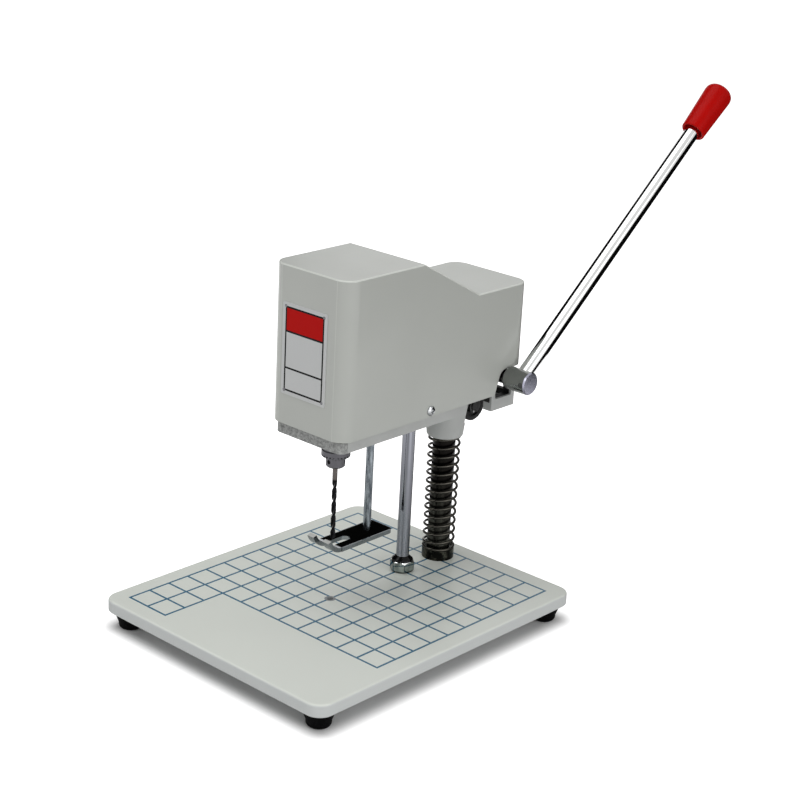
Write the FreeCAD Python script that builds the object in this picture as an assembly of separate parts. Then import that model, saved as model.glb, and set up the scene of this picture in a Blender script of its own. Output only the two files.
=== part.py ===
import FreeCAD, Part
import math
import os

from FreeCAD import Vector

# Desk-top drilling and binding press for stacks of paper.
# Millimetres. X to the right, Y to the back, Z up. Places along Y are measured from the axis of
# the column and heights from the table top. The finished parts are then moved forward by
# origin_back, so that the origin lies under the middle of the whole machine, lever included.

os.makedirs("parts", exist_ok=True)

origin_back = 10.8

# Clearances, and how cuts and round corners are made
running_clearance = 0.05
seat_clearance = 0.03
screw_clearance = 0.3
thread_clearance = 0.05
stop_clearance = 0.2
end_clearance = 0.3
thread_end_gap = 1.0
cut_margin = 1.0
edge_tolerance = 0.01
corner_steps = 4

# Base plate
base_width = 230.0
base_depth = 276.0
base_rear_reach = 29.0
base_thickness = 10.0
base_corner_radius = 12.5
base_top_round = 2.0
base_bottom_chamfer = 0.8
relief_depth = 3.5
relief_rim = 7.0
relief_corner_radius = 5.0
rib_width = 4.0
rib_spacing = 62.0
boss_margin = 4.0

# Feet
foot_height = 14.0
foot_top_diameter = 22.0
foot_bottom_diameter = 17.0
foot_edge_round = 2.0
foot_inset = 15.5
foot_screw_diameter = 4.0
foot_screw_head_diameter = 8.0
foot_screw_head_height = 2.6
foot_screw_flat_share = 0.6
foot_screw_crown_share = 0.4
foot_screw_recess = 6.0
foot_screw_grip = 6.0
screw_slot_width = 1.0
screw_slot_depth = 1.0

# Column with its rack, its spring and its fastening
column_diameter = 18.0
column_back = 0.0
column_end_rise = 2.8
head_stroke = 50.0
column_chamfer = 1.2
rack_flat_depth = 0.5
rack_reach = 12.0
column_screw_diameter = 8.0
column_screw_head_diameter = 13.0
column_screw_head_height = 4.5
column_screw_key = 6.0
column_screw_key_depth = 3.0
column_screw_length = 20.0
column_collar_diameter = 25.4
column_collar_height = 8.5
spring_outer_diameter = 26.0
spring_wire_diameter = 1.9
spring_turns = 13
stop_ring_diameter = 28.0
stop_ring_height = 6.0
ring_chamfer = 0.8

# Guide rod beside the column
guide_rod_diameter = 10.0
guide_rod_back = -42.0
guide_rod_height = 165.0
guide_rod_depth = 7.0
guide_rod_chamfer = 1.0
guide_nut_flats = 17.0
guide_nut_height = 8.0
guide_nut_chamfer_slope = 0.5
guide_collar_height = 6.4
guide_collar_diameter = 18.0
guide_collar_rim = 0.4
guide_bush_wall = 2.5
guide_boss_wall = 3.0
guide_boss_height = 12.0

# Head casting
head_bottom = 157.0
lip_width = 68.0
lip_front = -152.0
lip_back = -16.5
lip_corner_radius = 6.0
floor_thickness = 6.0
wall_thickness = 5.0
wall_height = 20.0
rim_height = 8.0
column_boss_below_axis = 51.7
column_boss_low_radius = 14.4
column_boss_mid_radius = 16.0
column_boss_top_radius = 17.5
column_boss_mid_share = 0.56
column_boss_edge_round = 2.0
upper_sleeve_radius = 14.5
upper_sleeve_above_axis = 10.5
column_bush_wall = 2.0
column_bush_length = 9.7
rear_floor_width = 42.0
rear_floor_back = 34.0
cheek_width = 8.0
cheek_front = 13.0
cheek_back = 40.0
cheek_bottom_below_axis = 26.5
cheek_top_below_axis = 17.5
cheek_neck_low_width = 4.5
cheek_neck_high_width = 1.5
cheek_link_rise = 1.2
rear_lug_thickness = 4.0
rear_lug_top_below_axis = 9.5
rear_wall_top_below_axis = 15.0
bearing_wall_inner = 14.0
bearing_wall_thickness = 7.0
bearing_ear_radius = 11.0
axle_boss_radius = 8.0
screw_pad_radius = 6.0
screw_pad_depth = 2.0
inner_corner_radius = 1.0

# Cover of folded and welded sheet
cover_width = 75.4
cover_front = -155.0
cover_back = 46.0
cover_bottom = 166.3
cover_front_top = 285.0
cover_rear_top = 251.5
cover_slope_front = -76.7
cover_slope_back = -14.2
cover_sheet = 1.2
cover_corner_radius = 12.0
cover_edge_round = 1.4
cover_opening_above_axis = 7.1
notch_front = 11.3
notch_setback = 6.5
notch_corner_radius = 7.0
cover_screw_back = -62.0
cover_screw_height = 171.0
cover_screw_diameter = 4.0
cover_screw_head_diameter = 7.6
cover_screw_head_height = 2.4
cover_screw_rim_height = 0.7
cover_cross_share = 0.55
cover_screw_length = 8.0

# Plain plate on the front of the cover
label_width = 44.0
label_height = 68.5
label_left = -24.5
label_bottom = 189.5
label_thickness = 0.6
label_corner_radius = 1.5
label_rivet_inset = 3.0
label_rivet_diameter = 2.4
label_rivet_height = 0.5
label_rivet_top_share = 0.5

# Cable gland in the rear wall of the cover
gland_side = -18.0
gland_above_opening = 20.0
gland_hole_diameter = 12.0
gland_bore_diameter = 7.0
gland_flange_diameter = 17.0
gland_flange_thickness = 2.5
gland_neck_length = 6.0

# Motor and spindle
drill_back = -121.5
motor_diameter = 56.0
motor_length = 84.0
motor_bell_height = 9.0
motor_nose_diameter = 22.0
motor_cap_height = 5.0
motor_edge_chamfer = 3.0
motor_rib_count = 12
motor_rib_depth = 1.2
motor_rib_width = 3.0
motor_screw_diameter = 4.0
motor_screw_head_diameter = 7.0
motor_screw_head_height = 3.0
motor_screw_spacing = 38.0
motor_screw_grip = 6.0
motor_screw_chamfer = 0.5
motor_screw_key = 3.0
motor_screw_key_depth = 1.6
motor_recess_clearance = 0.4
spindle_diameter = 8.0
spindle_hole_clearance = 1.0
spindle_rise = 60.0

# Key chuck
chuck_top_gap = 2.0
chuck_flange_height = 2.8
chuck_flange_diameter = 19.0
chuck_flange_chamfer = 0.6
chuck_body_diameter = 14.4
chuck_sleeve_diameter = 21.5
chuck_sleeve_height = 12.6
chuck_sleeve_chamfer = 0.6
chuck_crown_height = 5.0
chuck_grip_drop = 0.7
chuck_nose_length = 8.3
chuck_nose_chamfer = 1.0
chuck_taper_depth = 9.0
chuck_tooth_count = 24
chuck_tooth_height = 1.9
chuck_tooth_depth = 2.6
chuck_slot_share = 0.46
chuck_key_hole_diameter = 3.2
chuck_key_hole_depth = 2.2
chuck_key_hole_rise = 4.8
jaw_count = 3
jaw_diameter = 4.0
jaw_length = 10.0
jaw_lean_angle = 8.0
jaw_nose_radius = 2.62
jaw_stroke = 4.0

# Drill bit
drill_diameter = 3.8
drill_tip_height = 73.3
drill_shank_grip = 12.0
drill_shank_length = 10.9
drill_point_angle = 118.0
flute_width = 2.6
flute_offset = 2.15
flute_lead = 22.0
flute_run_out = 2.0

# Drilling pad in the base plate
pad_diameter = 8.6
pad_height = 4.0
pad_hole_diameter = 5.0
pad_hole_depth = 2.0

# Presser foot
presser_width = 23.0
presser_front = -122.5
presser_back = -67.5
presser_thickness = 3.4
presser_top = 70.0
presser_corner_radius = 4.0
presser_slot_width = 8.0
presser_slot_end = -104.0
toe_width = 6.5
toe_spacing = 15.6
toe_bend_radius = 12.0
toe_bend_angle = 70.0
presser_rod_diameter = 6.0
presser_rod_back = -84.5
presser_rod_top = 216.0
presser_rod_chamfer = 0.5
presser_bush_wall = 2.0
presser_boss_wall = 3.0
presser_boss_height = 8.0
presser_ring_diameter = 12.0
presser_ring_height = 6.0

# Gears
gear_module = 1.0
pressure_angle = 20.0
rack_gear_teeth = 23
rack_gear_width = 14.0
pinion_teeth = 17
pinion_width = 7.0
pinion_inner = -24.0
sector_teeth = 42
sector_width = 6.0
sector_inner = -23.5
sector_lead_angle = 6.0
sector_follow_angle = 107.0
addendum_factor = 1.0
dedendum_factor = 1.25
gear_backlash = 0.24
gear_room = 1.0
sector_room = 1.5
flank_steps = 3
idler_axle_diameter = 8.0
idler_sleeve_wall = 2.0
idler_flange_diameter = 25.0
idler_flange_width = 4.5
idler_flange_gap = 0.5
idler_flange_dish_diameter = 17.4
idler_flange_dish_depth = 0.8
idler_flange_chamfer = 0.4
idler_flange_rim = 1.6
idler_flange_groove = 1.2
idler_end_play = 0.4
clip_thickness = 0.9
clip_width = 2.5
clip_gap_share = 0.5
clip_end_reach = 0.6

# Lever
lever_shaft_diameter = 12.0
lever_axis_back = 26.0
lever_axis_height = 178.5
shaft_bush_wall = 2.0
lever_hub_diameter = 18.0
lever_hub_inner = 39.0
lever_hub_length = 21.5
lever_hub_chamfer = 1.0
lever_hub_end_wall = 1.4
lever_rod_side = 50.0
lever_rod_diameter = 12.0
lever_rod_spigot_diameter = 8.0
lever_rod_seat = 6.6
lever_rod_chamfer = 0.8
lever_lean_angle = 50.0
lever_length = 311.0
grip_length = 48.0
grip_low_diameter = 19.0
grip_high_diameter = 24.0
grip_rim_round = 1.5
grip_dome_share = 0.5
grip_end_wall = 8.0
set_screw_diameter = 4.0
set_screw_side = 57.5
set_screw_length = 2.4
gear_pin_diameter = 3.0
sector_hub_diameter = 20.0
sector_hub_reach = 4.7

# Heights and places that follow from the dimensions above
base_bottom = foot_height
base_top = foot_height + base_thickness
column_screw_head_top = base_bottom + column_screw_head_height + end_clearance
base_back = base_rear_reach
base_front = base_back - base_depth
column_radius = column_diameter / 2
column_collar_top = base_top + column_collar_height
floor_top = head_bottom + floor_thickness
wall_top = head_bottom + wall_height
rim_top = head_bottom + rim_height
upper_sleeve_top = lever_axis_height + upper_sleeve_above_axis
column_boss_bottom = lever_axis_height - column_boss_below_axis
stop_ring_bottom = upper_sleeve_top + stop_clearance
stop_ring_top = stop_ring_bottom + stop_ring_height
column_top = stop_ring_top + column_end_rise
lip_half_width = lip_width / 2
cover_half_width = cover_width / 2
pad_top = base_top
rack_tip_back = column_back + column_radius - rack_flat_depth
rack_pitch_back = rack_tip_back - addendum_factor * gear_module
rack_pitch_radius = rack_gear_teeth * gear_module / 2
pinion_pitch_radius = pinion_teeth * gear_module / 2
sector_pitch_radius = sector_teeth * gear_module / 2
idler_back = rack_pitch_back + rack_pitch_radius
lever_to_idler_back = lever_axis_back - idler_back
gear_centre_distance = pinion_pitch_radius + sector_pitch_radius
lever_to_idler_drop = math.sqrt(gear_centre_distance ** 2 - lever_to_idler_back ** 2)
idler_height = lever_axis_height - lever_to_idler_drop
rack_pitch = math.pi * gear_module
rack_bottom = idler_height - head_stroke - rack_reach
rack_space_count = math.ceil((head_stroke + 2 * rack_reach) / rack_pitch)
idler_flange_outer = rack_gear_width / 2 + idler_flange_gap + idler_flange_width
idler_sleeve_radius = idler_axle_diameter / 2 + idler_sleeve_wall
mesh_angle = math.degrees(math.atan2(lever_to_idler_drop, lever_to_idler_back))
lever_hub_outer = lever_hub_inner + lever_hub_length
chuck_top = head_bottom - chuck_top_gap
chuck_sleeve_top = chuck_top - chuck_flange_height
chuck_sleeve_bottom = chuck_sleeve_top - chuck_sleeve_height
chuck_bottom = chuck_sleeve_bottom - chuck_nose_length
presser_bottom = presser_top - presser_thickness
cheek_outer = lip_half_width
cheek_inner = cheek_outer - cheek_width
cheek_bottom = lever_axis_height - cheek_bottom_below_axis
cheek_top = lever_axis_height - cheek_top_below_axis
rear_lug_top = lever_axis_height - rear_lug_top_below_axis
rear_wall_top = lever_axis_height - rear_wall_top_below_axis
cover_rear_opening_top = lever_axis_height + cover_opening_above_axis
guide_bush_radius = guide_rod_diameter / 2 + guide_bush_wall
presser_bush_radius = presser_rod_diameter / 2 + presser_bush_wall
column_bush_radius = column_radius + column_bush_wall
shaft_bush_radius = lever_shaft_diameter / 2 + shaft_bush_wall


def box(x_low, x_high, y_low, y_high, z_low, z_high):
    corner = Vector(x_low, y_low, z_low)
    return Part.makeBox(x_high - x_low, y_high - y_low, z_high - z_low, corner)


def upright(radius, x, y, z_low, z_high):
    return Part.makeCylinder(radius, z_high - z_low, Vector(x, y, z_low), Vector(0, 0, 1))


def crosswise(radius, y, z, x_low, x_high):
    return Part.makeCylinder(radius, x_high - x_low, Vector(x_low, y, z), Vector(1, 0, 0))


def revolved(profile, x, y):
    """Turn a closed outline of (radius, height) points about the upright line through x, y."""
    points = [Vector(x + radius, y, height) for radius, height in profile]
    points.append(points[0])
    face = Part.Face(Part.makePolygon(points))
    return face.revolve(Vector(x, y, 0), Vector(0, 0, 1), 360)


def rounded_corner(centre_radius, centre_height, radius, first_angle, last_angle):
    """Points of an arc in an outline of (radius, height) points, in degrees from level."""
    points = []
    for step in range(corner_steps + 1):
        turn = math.radians(first_angle + (last_angle - first_angle) * step / corner_steps)
        points.append((centre_radius + radius * math.cos(turn),
                       centre_height + radius * math.sin(turn)))
    return points


def side_profile(outline, x_low, x_high):
    """Extrude a closed outline of (back, height) points along X."""
    points = [Vector(x_low, back, height) for back, height in outline]
    points.append(points[0])
    face = Part.Face(Part.makePolygon(points))
    return face.extrude(Vector(x_high - x_low, 0, 0))


def rounded_plate(x_low, x_high, y_low, y_high, z_low, z_high, radius):
    plate = box(x_low, x_high, y_low, y_high, z_low, z_high)
    return plate.makeFillet(radius, upright_edges(plate))


def upright_edges(shape):
    found = []
    for edge in shape.Edges:
        ends = [vertex.Point for vertex in edge.Vertexes]
        if len(ends) == 2 and edge.Length - abs(ends[0].z - ends[1].z) < edge_tolerance:
            found.append(edge)
    return found


def edges_at_height(shape, height):
    found = []
    for edge in shape.Edges:
        low = abs(edge.BoundBox.ZMin - height)
        high = abs(edge.BoundBox.ZMax - height)
        if low < edge_tolerance and high < edge_tolerance:
            found.append(edge)
    return found


def fuse_all(shapes):
    return shapes[0].multiFuse(shapes[1:]).removeSplitter()


def cut_all(shape, tools):
    return shape.cut(Part.makeCompound(tools))


def leaned(shape):
    """Turn a shape drawn straight up the lever so that it leans to the back."""
    turned = shape.copy()
    pivot = Vector(lever_rod_side, lever_axis_back, lever_axis_height)
    turned.rotate(pivot, Vector(1, 0, 0), -lever_lean_angle)
    return turned


def gear_outline(teeth, first_angle):
    """Points (across, up) of an involute gear with one tooth centred on first_angle degrees."""
    pitch_radius = teeth * gear_module / 2
    base_radius = pitch_radius * math.cos(math.radians(pressure_angle))
    tip_radius = pitch_radius + addendum_factor * gear_module
    root_radius = pitch_radius - dedendum_factor * gear_module
    slope = math.tan(math.radians(pressure_angle))
    involute_at_pitch = slope - math.radians(pressure_angle)
    half_tooth = (math.pi * gear_module / 2 - gear_backlash / 2) / (2 * pitch_radius)
    start_radius = max(base_radius, root_radius)
    flank = [(root_radius, half_tooth + involute_at_pitch)]
    for step in range(flank_steps + 1):
        radius = start_radius + (tip_radius - start_radius) * step / flank_steps
        roll = math.acos(min(1.0, base_radius / radius))
        flank.append((radius, half_tooth + involute_at_pitch - (math.tan(roll) - roll)))
    if root_radius >= base_radius:
        flank.pop(0)
    points = []
    for tooth in range(teeth):
        centre = math.radians(first_angle) + 2 * math.pi * tooth / teeth
        for radius, half in flank:
            points.append((radius * math.cos(centre - half), radius * math.sin(centre - half)))
        for radius, half in reversed(flank):
            points.append((radius * math.cos(centre + half), radius * math.sin(centre + half)))
    return points


def gear(teeth, first_angle, back, height, x_low, x_high):
    outline = [(back + across, height + up) for across, up in gear_outline(teeth, first_angle)]
    return side_profile(outline, x_low, x_high)


def helix_rod(radius, lead, height, wire_radius, x, y, z):
    """A round wire wound about an upright line."""
    path = Part.makeHelix(lead, height, radius)
    path.translate(Vector(x, y, z))
    start = Vector(x + radius, y, z)
    direction = Vector(0, 2 * math.pi * radius, lead)
    section = Part.Wire([Part.makeCircle(wire_radius, start, direction)])
    return Part.Wire(path).makePipeShell([section], True, True)


# Base

def foot_places():
    side = base_width / 2 - foot_inset
    front = base_front + foot_inset
    back = base_back - foot_inset
    return {
        "front_left": (-side, front),
        "front_right": (side, front),
        "rear_left": (-side, back),
        "rear_right": (side, back),
    }


def base_relief():
    """The hollow of the underside, with ribs and screw bosses left standing in it."""
    half_width = base_width / 2
    low = base_bottom - cut_margin
    high = base_bottom + relief_depth
    hollow = rounded_plate(-half_width + relief_rim, half_width - relief_rim,
                           base_front + relief_rim, base_back - relief_rim,
                           low, high, relief_corner_radius)
    standing = []
    for x, y in foot_places().values():
        standing.append(upright(foot_top_diameter / 2 + boss_margin, x, y, low, high))
    bosses = [
        (column_screw_head_diameter / 2 + 2 * boss_margin, column_back),
        (guide_rod_diameter / 2 + boss_margin, guide_rod_back),
        (pad_diameter / 2 + boss_margin, drill_back),
    ]
    for radius, y in bosses:
        standing.append(upright(radius, 0, y, low, high))
        standing.append(box(-half_width, half_width, y - rib_width / 2, y + rib_width / 2, low, high))
    for side in (-rib_spacing / 2, rib_spacing / 2):
        standing.append(box(side - rib_width / 2, side + rib_width / 2,
                            base_front, base_back, low, high))
    return cut_all(hollow, standing)


def base_plate():
    half_width = base_width / 2
    low = base_bottom - cut_margin
    high = base_top + cut_margin
    plate = rounded_plate(-half_width, half_width, base_front, base_back,
                          base_bottom, base_top, base_corner_radius)
    plate = plate.makeFillet(base_top_round, edges_at_height(plate, base_top))
    plate = plate.makeChamfer(base_bottom_chamfer, edges_at_height(plate, base_bottom))
    cuts = [
        base_relief(),
        upright(column_screw_diameter / 2 + screw_clearance, 0, column_back, low, high),
        upright(column_screw_head_diameter / 2 + screw_clearance, 0, column_back,
                low, column_screw_head_top),
        upright(guide_rod_diameter / 2 + thread_clearance, 0, guide_rod_back,
                base_top - guide_rod_depth - end_clearance, high),
        upright(pad_diameter / 2 + seat_clearance, 0, drill_back, base_top - pad_height, high),
    ]
    for x, y in foot_places().values():
        cuts.append(upright(foot_screw_diameter / 2 + thread_clearance, x, y,
                            low, base_bottom + foot_screw_grip + end_clearance))
    return cut_all(plate, cuts)


def foot(x, y):
    top = foot_top_diameter / 2
    low = foot_bottom_diameter / 2
    head = foot_screw_head_diameter / 2 + screw_clearance
    shank = foot_screw_diameter / 2 + screw_clearance
    outline = [(shank, base_bottom), (top, base_bottom)]
    outline += rounded_corner(low - foot_edge_round, foot_edge_round, foot_edge_round, 0, -90)
    outline += [(head, 0), (head, foot_screw_recess), (shank, foot_screw_recess)]
    return revolved(outline, x, y)


def foot_screws():
    screws = []
    radius = foot_screw_diameter / 2
    head = foot_screw_head_diameter / 2
    low = foot_screw_recess - foot_screw_head_height
    for x, y in foot_places().values():
        outline = [(0, low), (foot_screw_flat_share * head, low),
                   (head, low + foot_screw_crown_share * foot_screw_head_height),
                   (head, foot_screw_recess), (radius, foot_screw_recess),
                   (radius, base_bottom + foot_screw_grip), (0, base_bottom + foot_screw_grip)]
        screw = revolved(outline, x, y)
        slot = box(x - head, x + head, y - screw_slot_width / 2, y + screw_slot_width / 2,
                   low - cut_margin, low + screw_slot_depth)
        screws.append(screw.cut(slot))
    return Part.makeCompound(screws)


def drill_pad():
    pad = upright(pad_diameter / 2, 0, drill_back, pad_top - pad_height, pad_top)
    hole = upright(pad_hole_diameter / 2, 0, drill_back, pad_top - pad_hole_depth,
                   pad_top + cut_margin)
    return pad.cut(hole)


# Column and spring

def rack_slots():
    """Spaces of the rack; one lies level with the middle of the idler at rest."""
    half_space = (rack_pitch + gear_backlash) / 4
    slope = math.tan(math.radians(pressure_angle))
    tip_half = half_space + addendum_factor * gear_module * slope
    root_half = half_space - dedendum_factor * gear_module * slope
    root_back = rack_pitch_back - dedendum_factor * gear_module
    outer_back = rack_tip_back + gear_module
    outer_half = half_space + (outer_back - rack_pitch_back) * slope
    first = math.ceil((rack_bottom - idler_height) / rack_pitch)
    slots = []
    for tooth in range(rack_space_count):
        middle = idler_height + (first + tooth) * rack_pitch
        outline = [(outer_back, middle - outer_half), (rack_tip_back, middle - tip_half),
                   (root_back, middle - root_half), (root_back, middle + root_half),
                   (rack_tip_back, middle + tip_half), (outer_back, middle + outer_half)]
        slots.append(side_profile(outline, -column_radius, column_radius))
    return slots


def column():
    bar = upright(column_radius, 0, column_back, base_top, column_top)
    bar = bar.makeChamfer(column_chamfer, edges_at_height(bar, column_top))
    flat = box(-column_radius, column_radius, rack_tip_back, column_back + 2 * column_radius,
               rack_bottom - gear_module, rack_bottom + (rack_space_count + 1) * rack_pitch)
    thread = upright(column_screw_diameter / 2 + thread_clearance, 0, column_back,
                     base_top - cut_margin, column_screw_head_top + column_screw_length)
    return cut_all(bar.cut(flat), rack_slots() + [thread])


def column_screw():
    low = column_screw_head_top - column_screw_head_height
    head = upright(column_screw_head_diameter / 2, 0, column_back, low, column_screw_head_top)
    shank = upright(column_screw_diameter / 2, 0, column_back, low,
                    column_screw_head_top + column_screw_length - thread_end_gap)
    key = hexagon(column_screw_key, 0, column_back, low - cut_margin, low + column_screw_key_depth)
    return fuse_all([head, shank]).cut(key)


def hexagon(flats, x, y, z_low, z_high):
    corner = flats / math.sqrt(3)
    points = []
    for side in range(7):
        turn = math.radians(60 * side + 30)
        points.append(Vector(x + corner * math.cos(turn), y + corner * math.sin(turn), z_low))
    face = Part.Face(Part.makePolygon(points))
    return face.extrude(Vector(0, 0, z_high - z_low))


def column_collar():
    ring = upright(column_collar_diameter / 2, 0, column_back, base_top, column_collar_top)
    ring = ring.makeChamfer(ring_chamfer, edges_at_height(ring, column_collar_top))
    return ring.cut(upright(column_radius + seat_clearance, 0, column_back,
                            base_top - cut_margin, column_collar_top + cut_margin))


def return_spring():
    wire = spring_wire_diameter / 2
    mean = spring_outer_diameter / 2 - wire
    low = column_collar_top
    high = column_boss_bottom
    lead = (high - low) / spring_turns
    coil = helix_rod(mean, lead, high - low, wire, 0, column_back, low)
    ground = box(-spring_outer_diameter, spring_outer_diameter,
                 column_back - spring_outer_diameter, column_back + spring_outer_diameter,
                 low, high)
    return coil.common(ground)


def column_stop_ring():
    ring = upright(stop_ring_diameter / 2, 0, column_back, stop_ring_bottom, stop_ring_top)
    ring = ring.makeChamfer(ring_chamfer, edges_at_height(ring, stop_ring_top))
    return ring.cut(upright(column_radius + seat_clearance, 0, column_back,
                            stop_ring_bottom - cut_margin, stop_ring_top + cut_margin))


# Guide rod

def guide_rod():
    low = base_top - guide_rod_depth
    rod = upright(guide_rod_diameter / 2, 0, guide_rod_back, low, base_top + guide_rod_height)
    return rod.makeChamfer(guide_rod_chamfer, edges_at_height(rod, base_top + guide_rod_height))


def guide_rod_nut():
    top = base_top + guide_nut_height
    nut = hexagon(guide_nut_flats, 0, guide_rod_back, base_top, top)
    corner = guide_nut_flats / math.sqrt(3)
    flat = guide_nut_flats / 2
    drop = guide_nut_chamfer_slope * (corner - flat)
    chamfer = revolved([(0, base_top), (flat, base_top), (corner, base_top + drop),
                        (corner, top - drop), (flat, top), (0, top)], 0, guide_rod_back)
    hole = upright(guide_rod_diameter / 2 + thread_clearance, 0, guide_rod_back,
                   base_top - cut_margin, top + cut_margin)
    return nut.common(chamfer).cut(hole)


def guide_rod_collar():
    low = base_top + guide_nut_height
    high = low + guide_collar_height
    outer = guide_collar_diameter / 2
    inner = guide_rod_diameter / 2 + seat_clearance
    dome = outer - inner - guide_collar_rim
    outline = [(inner, low), (outer, low)]
    outline += rounded_corner(outer - dome, high - dome, dome, 0, 90)
    outline.append((inner, high))
    return revolved(outline, 0, guide_rod_back)


# Head casting

def casting_outline(inset, z_low, z_high):
    """The rim outline with round front corners and a square back."""
    side = lip_half_width - inset
    front = lip_front + inset
    radius = max(lip_corner_radius - inset, inner_corner_radius)
    block = box(-side, side, front, lip_back, z_low, z_high)
    corners = [edge for edge in upright_edges(block) if edge.BoundBox.YMin < front + edge_tolerance]
    return block.makeFillet(radius, corners)


def column_boss():
    low = column_boss_bottom
    mid = low + column_boss_mid_share * (head_bottom - low)
    edge = column_boss_edge_round
    outline = [(0, low)]
    outline += rounded_corner(column_boss_low_radius - edge, low + edge, edge, -90, 0)
    outline += [(column_boss_mid_radius, mid), (column_boss_top_radius, head_bottom),
                (column_boss_top_radius, floor_top), (0, floor_top)]
    return revolved(outline, 0, column_back)


def rear_cheek(x_low, x_high):
    """A cheek behind the column, hung on a link that runs back from the side wall."""
    link_low = cover_bottom + cheek_link_rise
    top = max(wall_top, cheek_top)
    neck = [(cheek_front, cheek_bottom), (cheek_front, top),
            (cheek_front + cheek_neck_high_width, top),
            (cheek_front + cheek_neck_low_width, cheek_top),
            (cheek_front + cheek_neck_low_width, cheek_bottom)]
    lug_front = cheek_back - rear_lug_thickness
    return fuse_all([
        box(x_low, x_high, lip_back - wall_thickness, cheek_front + cheek_neck_high_width,
            link_low, wall_top),
        side_profile(neck, x_low, x_high),
        box(x_low, x_high, cheek_front, cheek_back, cheek_bottom, cheek_top),
        box(x_low, x_high, lug_front, cheek_back, cheek_bottom, rear_lug_top),
    ])


def left_bearing():
    """The left cheek also carries the lever shaft and the idler's axle."""
    shaft_ear = crosswise(bearing_ear_radius, lever_axis_back, lever_axis_height,
                          -cheek_outer, -cheek_inner)
    stem = box(-cheek_outer, -cheek_inner, lever_axis_back - bearing_ear_radius,
               lever_axis_back + bearing_ear_radius, cheek_bottom, lever_axis_height)
    axle_boss = crosswise(axle_boss_radius, idler_back, idler_height, -cheek_outer, -cheek_inner)
    return fuse_all([rear_cheek(-cheek_outer, -cheek_inner), shaft_ear, stem, axle_boss])


def right_bearing_wall():
    low = bearing_wall_inner
    high = bearing_wall_inner + bearing_wall_thickness
    front = column_back - upper_sleeve_radius / 2
    outline = [(front, head_bottom), (rear_floor_back, head_bottom), (rear_floor_back, floor_top),
               (lever_axis_back, lever_axis_height), (front, upper_sleeve_top)]
    ear = crosswise(bearing_ear_radius, lever_axis_back, lever_axis_height, low, high)
    return fuse_all([side_profile(outline, low, high), ear])


def cover_screw_pads():
    """Bosses that reach from the side walls to the cover."""
    pads = []
    inner = lip_half_width - wall_thickness - screw_pad_depth
    outer = cover_half_width - cover_sheet - running_clearance
    below_cover = box(-cover_width, cover_width, lip_front, lip_back, head_bottom, cover_bottom)
    for x_low, x_high in ((-outer, -inner), (inner, outer)):
        pad = crosswise(screw_pad_radius, cover_screw_back, cover_screw_height, x_low, x_high)
        pads.append(pad.cut(below_cover))
    return pads


def head_casting():
    rim = casting_outline(0, head_bottom, rim_top)
    walls = casting_outline(0, rim_top, wall_top)
    walls = walls.cut(box(-lip_width, lip_width, lip_front - cut_margin, presser_rod_back,
                          rim_top, wall_top + cut_margin))
    hollow = casting_outline(wall_thickness, floor_top, wall_top + cut_margin)
    inner = lip_half_width - wall_thickness
    rear_open = box(-inner, inner, lip_back - 2 * wall_thickness, lip_back + cut_margin,
                    floor_top, wall_top + cut_margin)
    shell = cut_all(fuse_all([rim, walls]), [hollow, rear_open])
    rear_floor = box(-rear_floor_width / 2, rear_floor_width / 2, lip_back - wall_thickness,
                     rear_floor_back, head_bottom, floor_top)
    cross_wall = box(-cheek_outer, cheek_outer, cheek_back - rear_lug_thickness, cheek_back,
                     cheek_bottom, rear_wall_top)
    upper_sleeve = upright(upper_sleeve_radius, 0, column_back, head_bottom, upper_sleeve_top)
    guide_boss = upright(guide_bush_radius + guide_boss_wall, 0, guide_rod_back,
                         head_bottom, floor_top + guide_boss_height)
    presser_boss = upright(presser_bush_radius + presser_boss_wall, 0, presser_rod_back,
                           head_bottom, floor_top + presser_boss_height)
    solids = [shell, rear_floor, cross_wall, column_boss(), upper_sleeve, guide_boss,
              presser_boss, rear_cheek(cheek_inner, cheek_outer), left_bearing(),
              right_bearing_wall()]
    return cut_all(fuse_all(solids + cover_screw_pads()), casting_bores() + gear_slots())


def casting_bores():
    low = head_bottom - cut_margin
    sleeve_top = upper_sleeve_top + cut_margin
    bores = [
        upright(column_radius + screw_clearance, 0, column_back,
                column_boss_bottom - cut_margin, sleeve_top),
        upright(column_bush_radius, 0, column_back, column_boss_bottom - cut_margin,
                column_boss_bottom + column_bush_length),
        upright(column_bush_radius, 0, column_back, upper_sleeve_top - column_bush_length,
                sleeve_top),
        upright(guide_bush_radius, 0, guide_rod_back, low,
                floor_top + guide_boss_height + cut_margin),
        upright(presser_bush_radius, 0, presser_rod_back, low,
                floor_top + presser_boss_height + cut_margin),
        upright(spindle_diameter / 2 + spindle_hole_clearance, 0, drill_back, low,
                floor_top + cut_margin),
        upright(motor_diameter / 2 + motor_recess_clearance, 0, drill_back, floor_top,
                wall_top + cut_margin),
        crosswise(shaft_bush_radius, lever_axis_back, lever_axis_height,
                  -cheek_outer - cut_margin, bearing_wall_inner + bearing_wall_thickness + cut_margin),
        crosswise(idler_axle_diameter / 2 + seat_clearance, idler_back, idler_height,
                  -cheek_outer - cut_margin, -cheek_inner + cut_margin),
        crosswise(cover_screw_diameter / 2 + thread_clearance, cover_screw_back,
                  cover_screw_height, -cover_half_width, cover_half_width),
    ]
    for side in (-motor_screw_spacing / 2, motor_screw_spacing / 2):
        bores.append(upright(motor_screw_diameter / 2 + screw_clearance, side, drill_back,
                             low, floor_top + cut_margin))
    return bores


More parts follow.
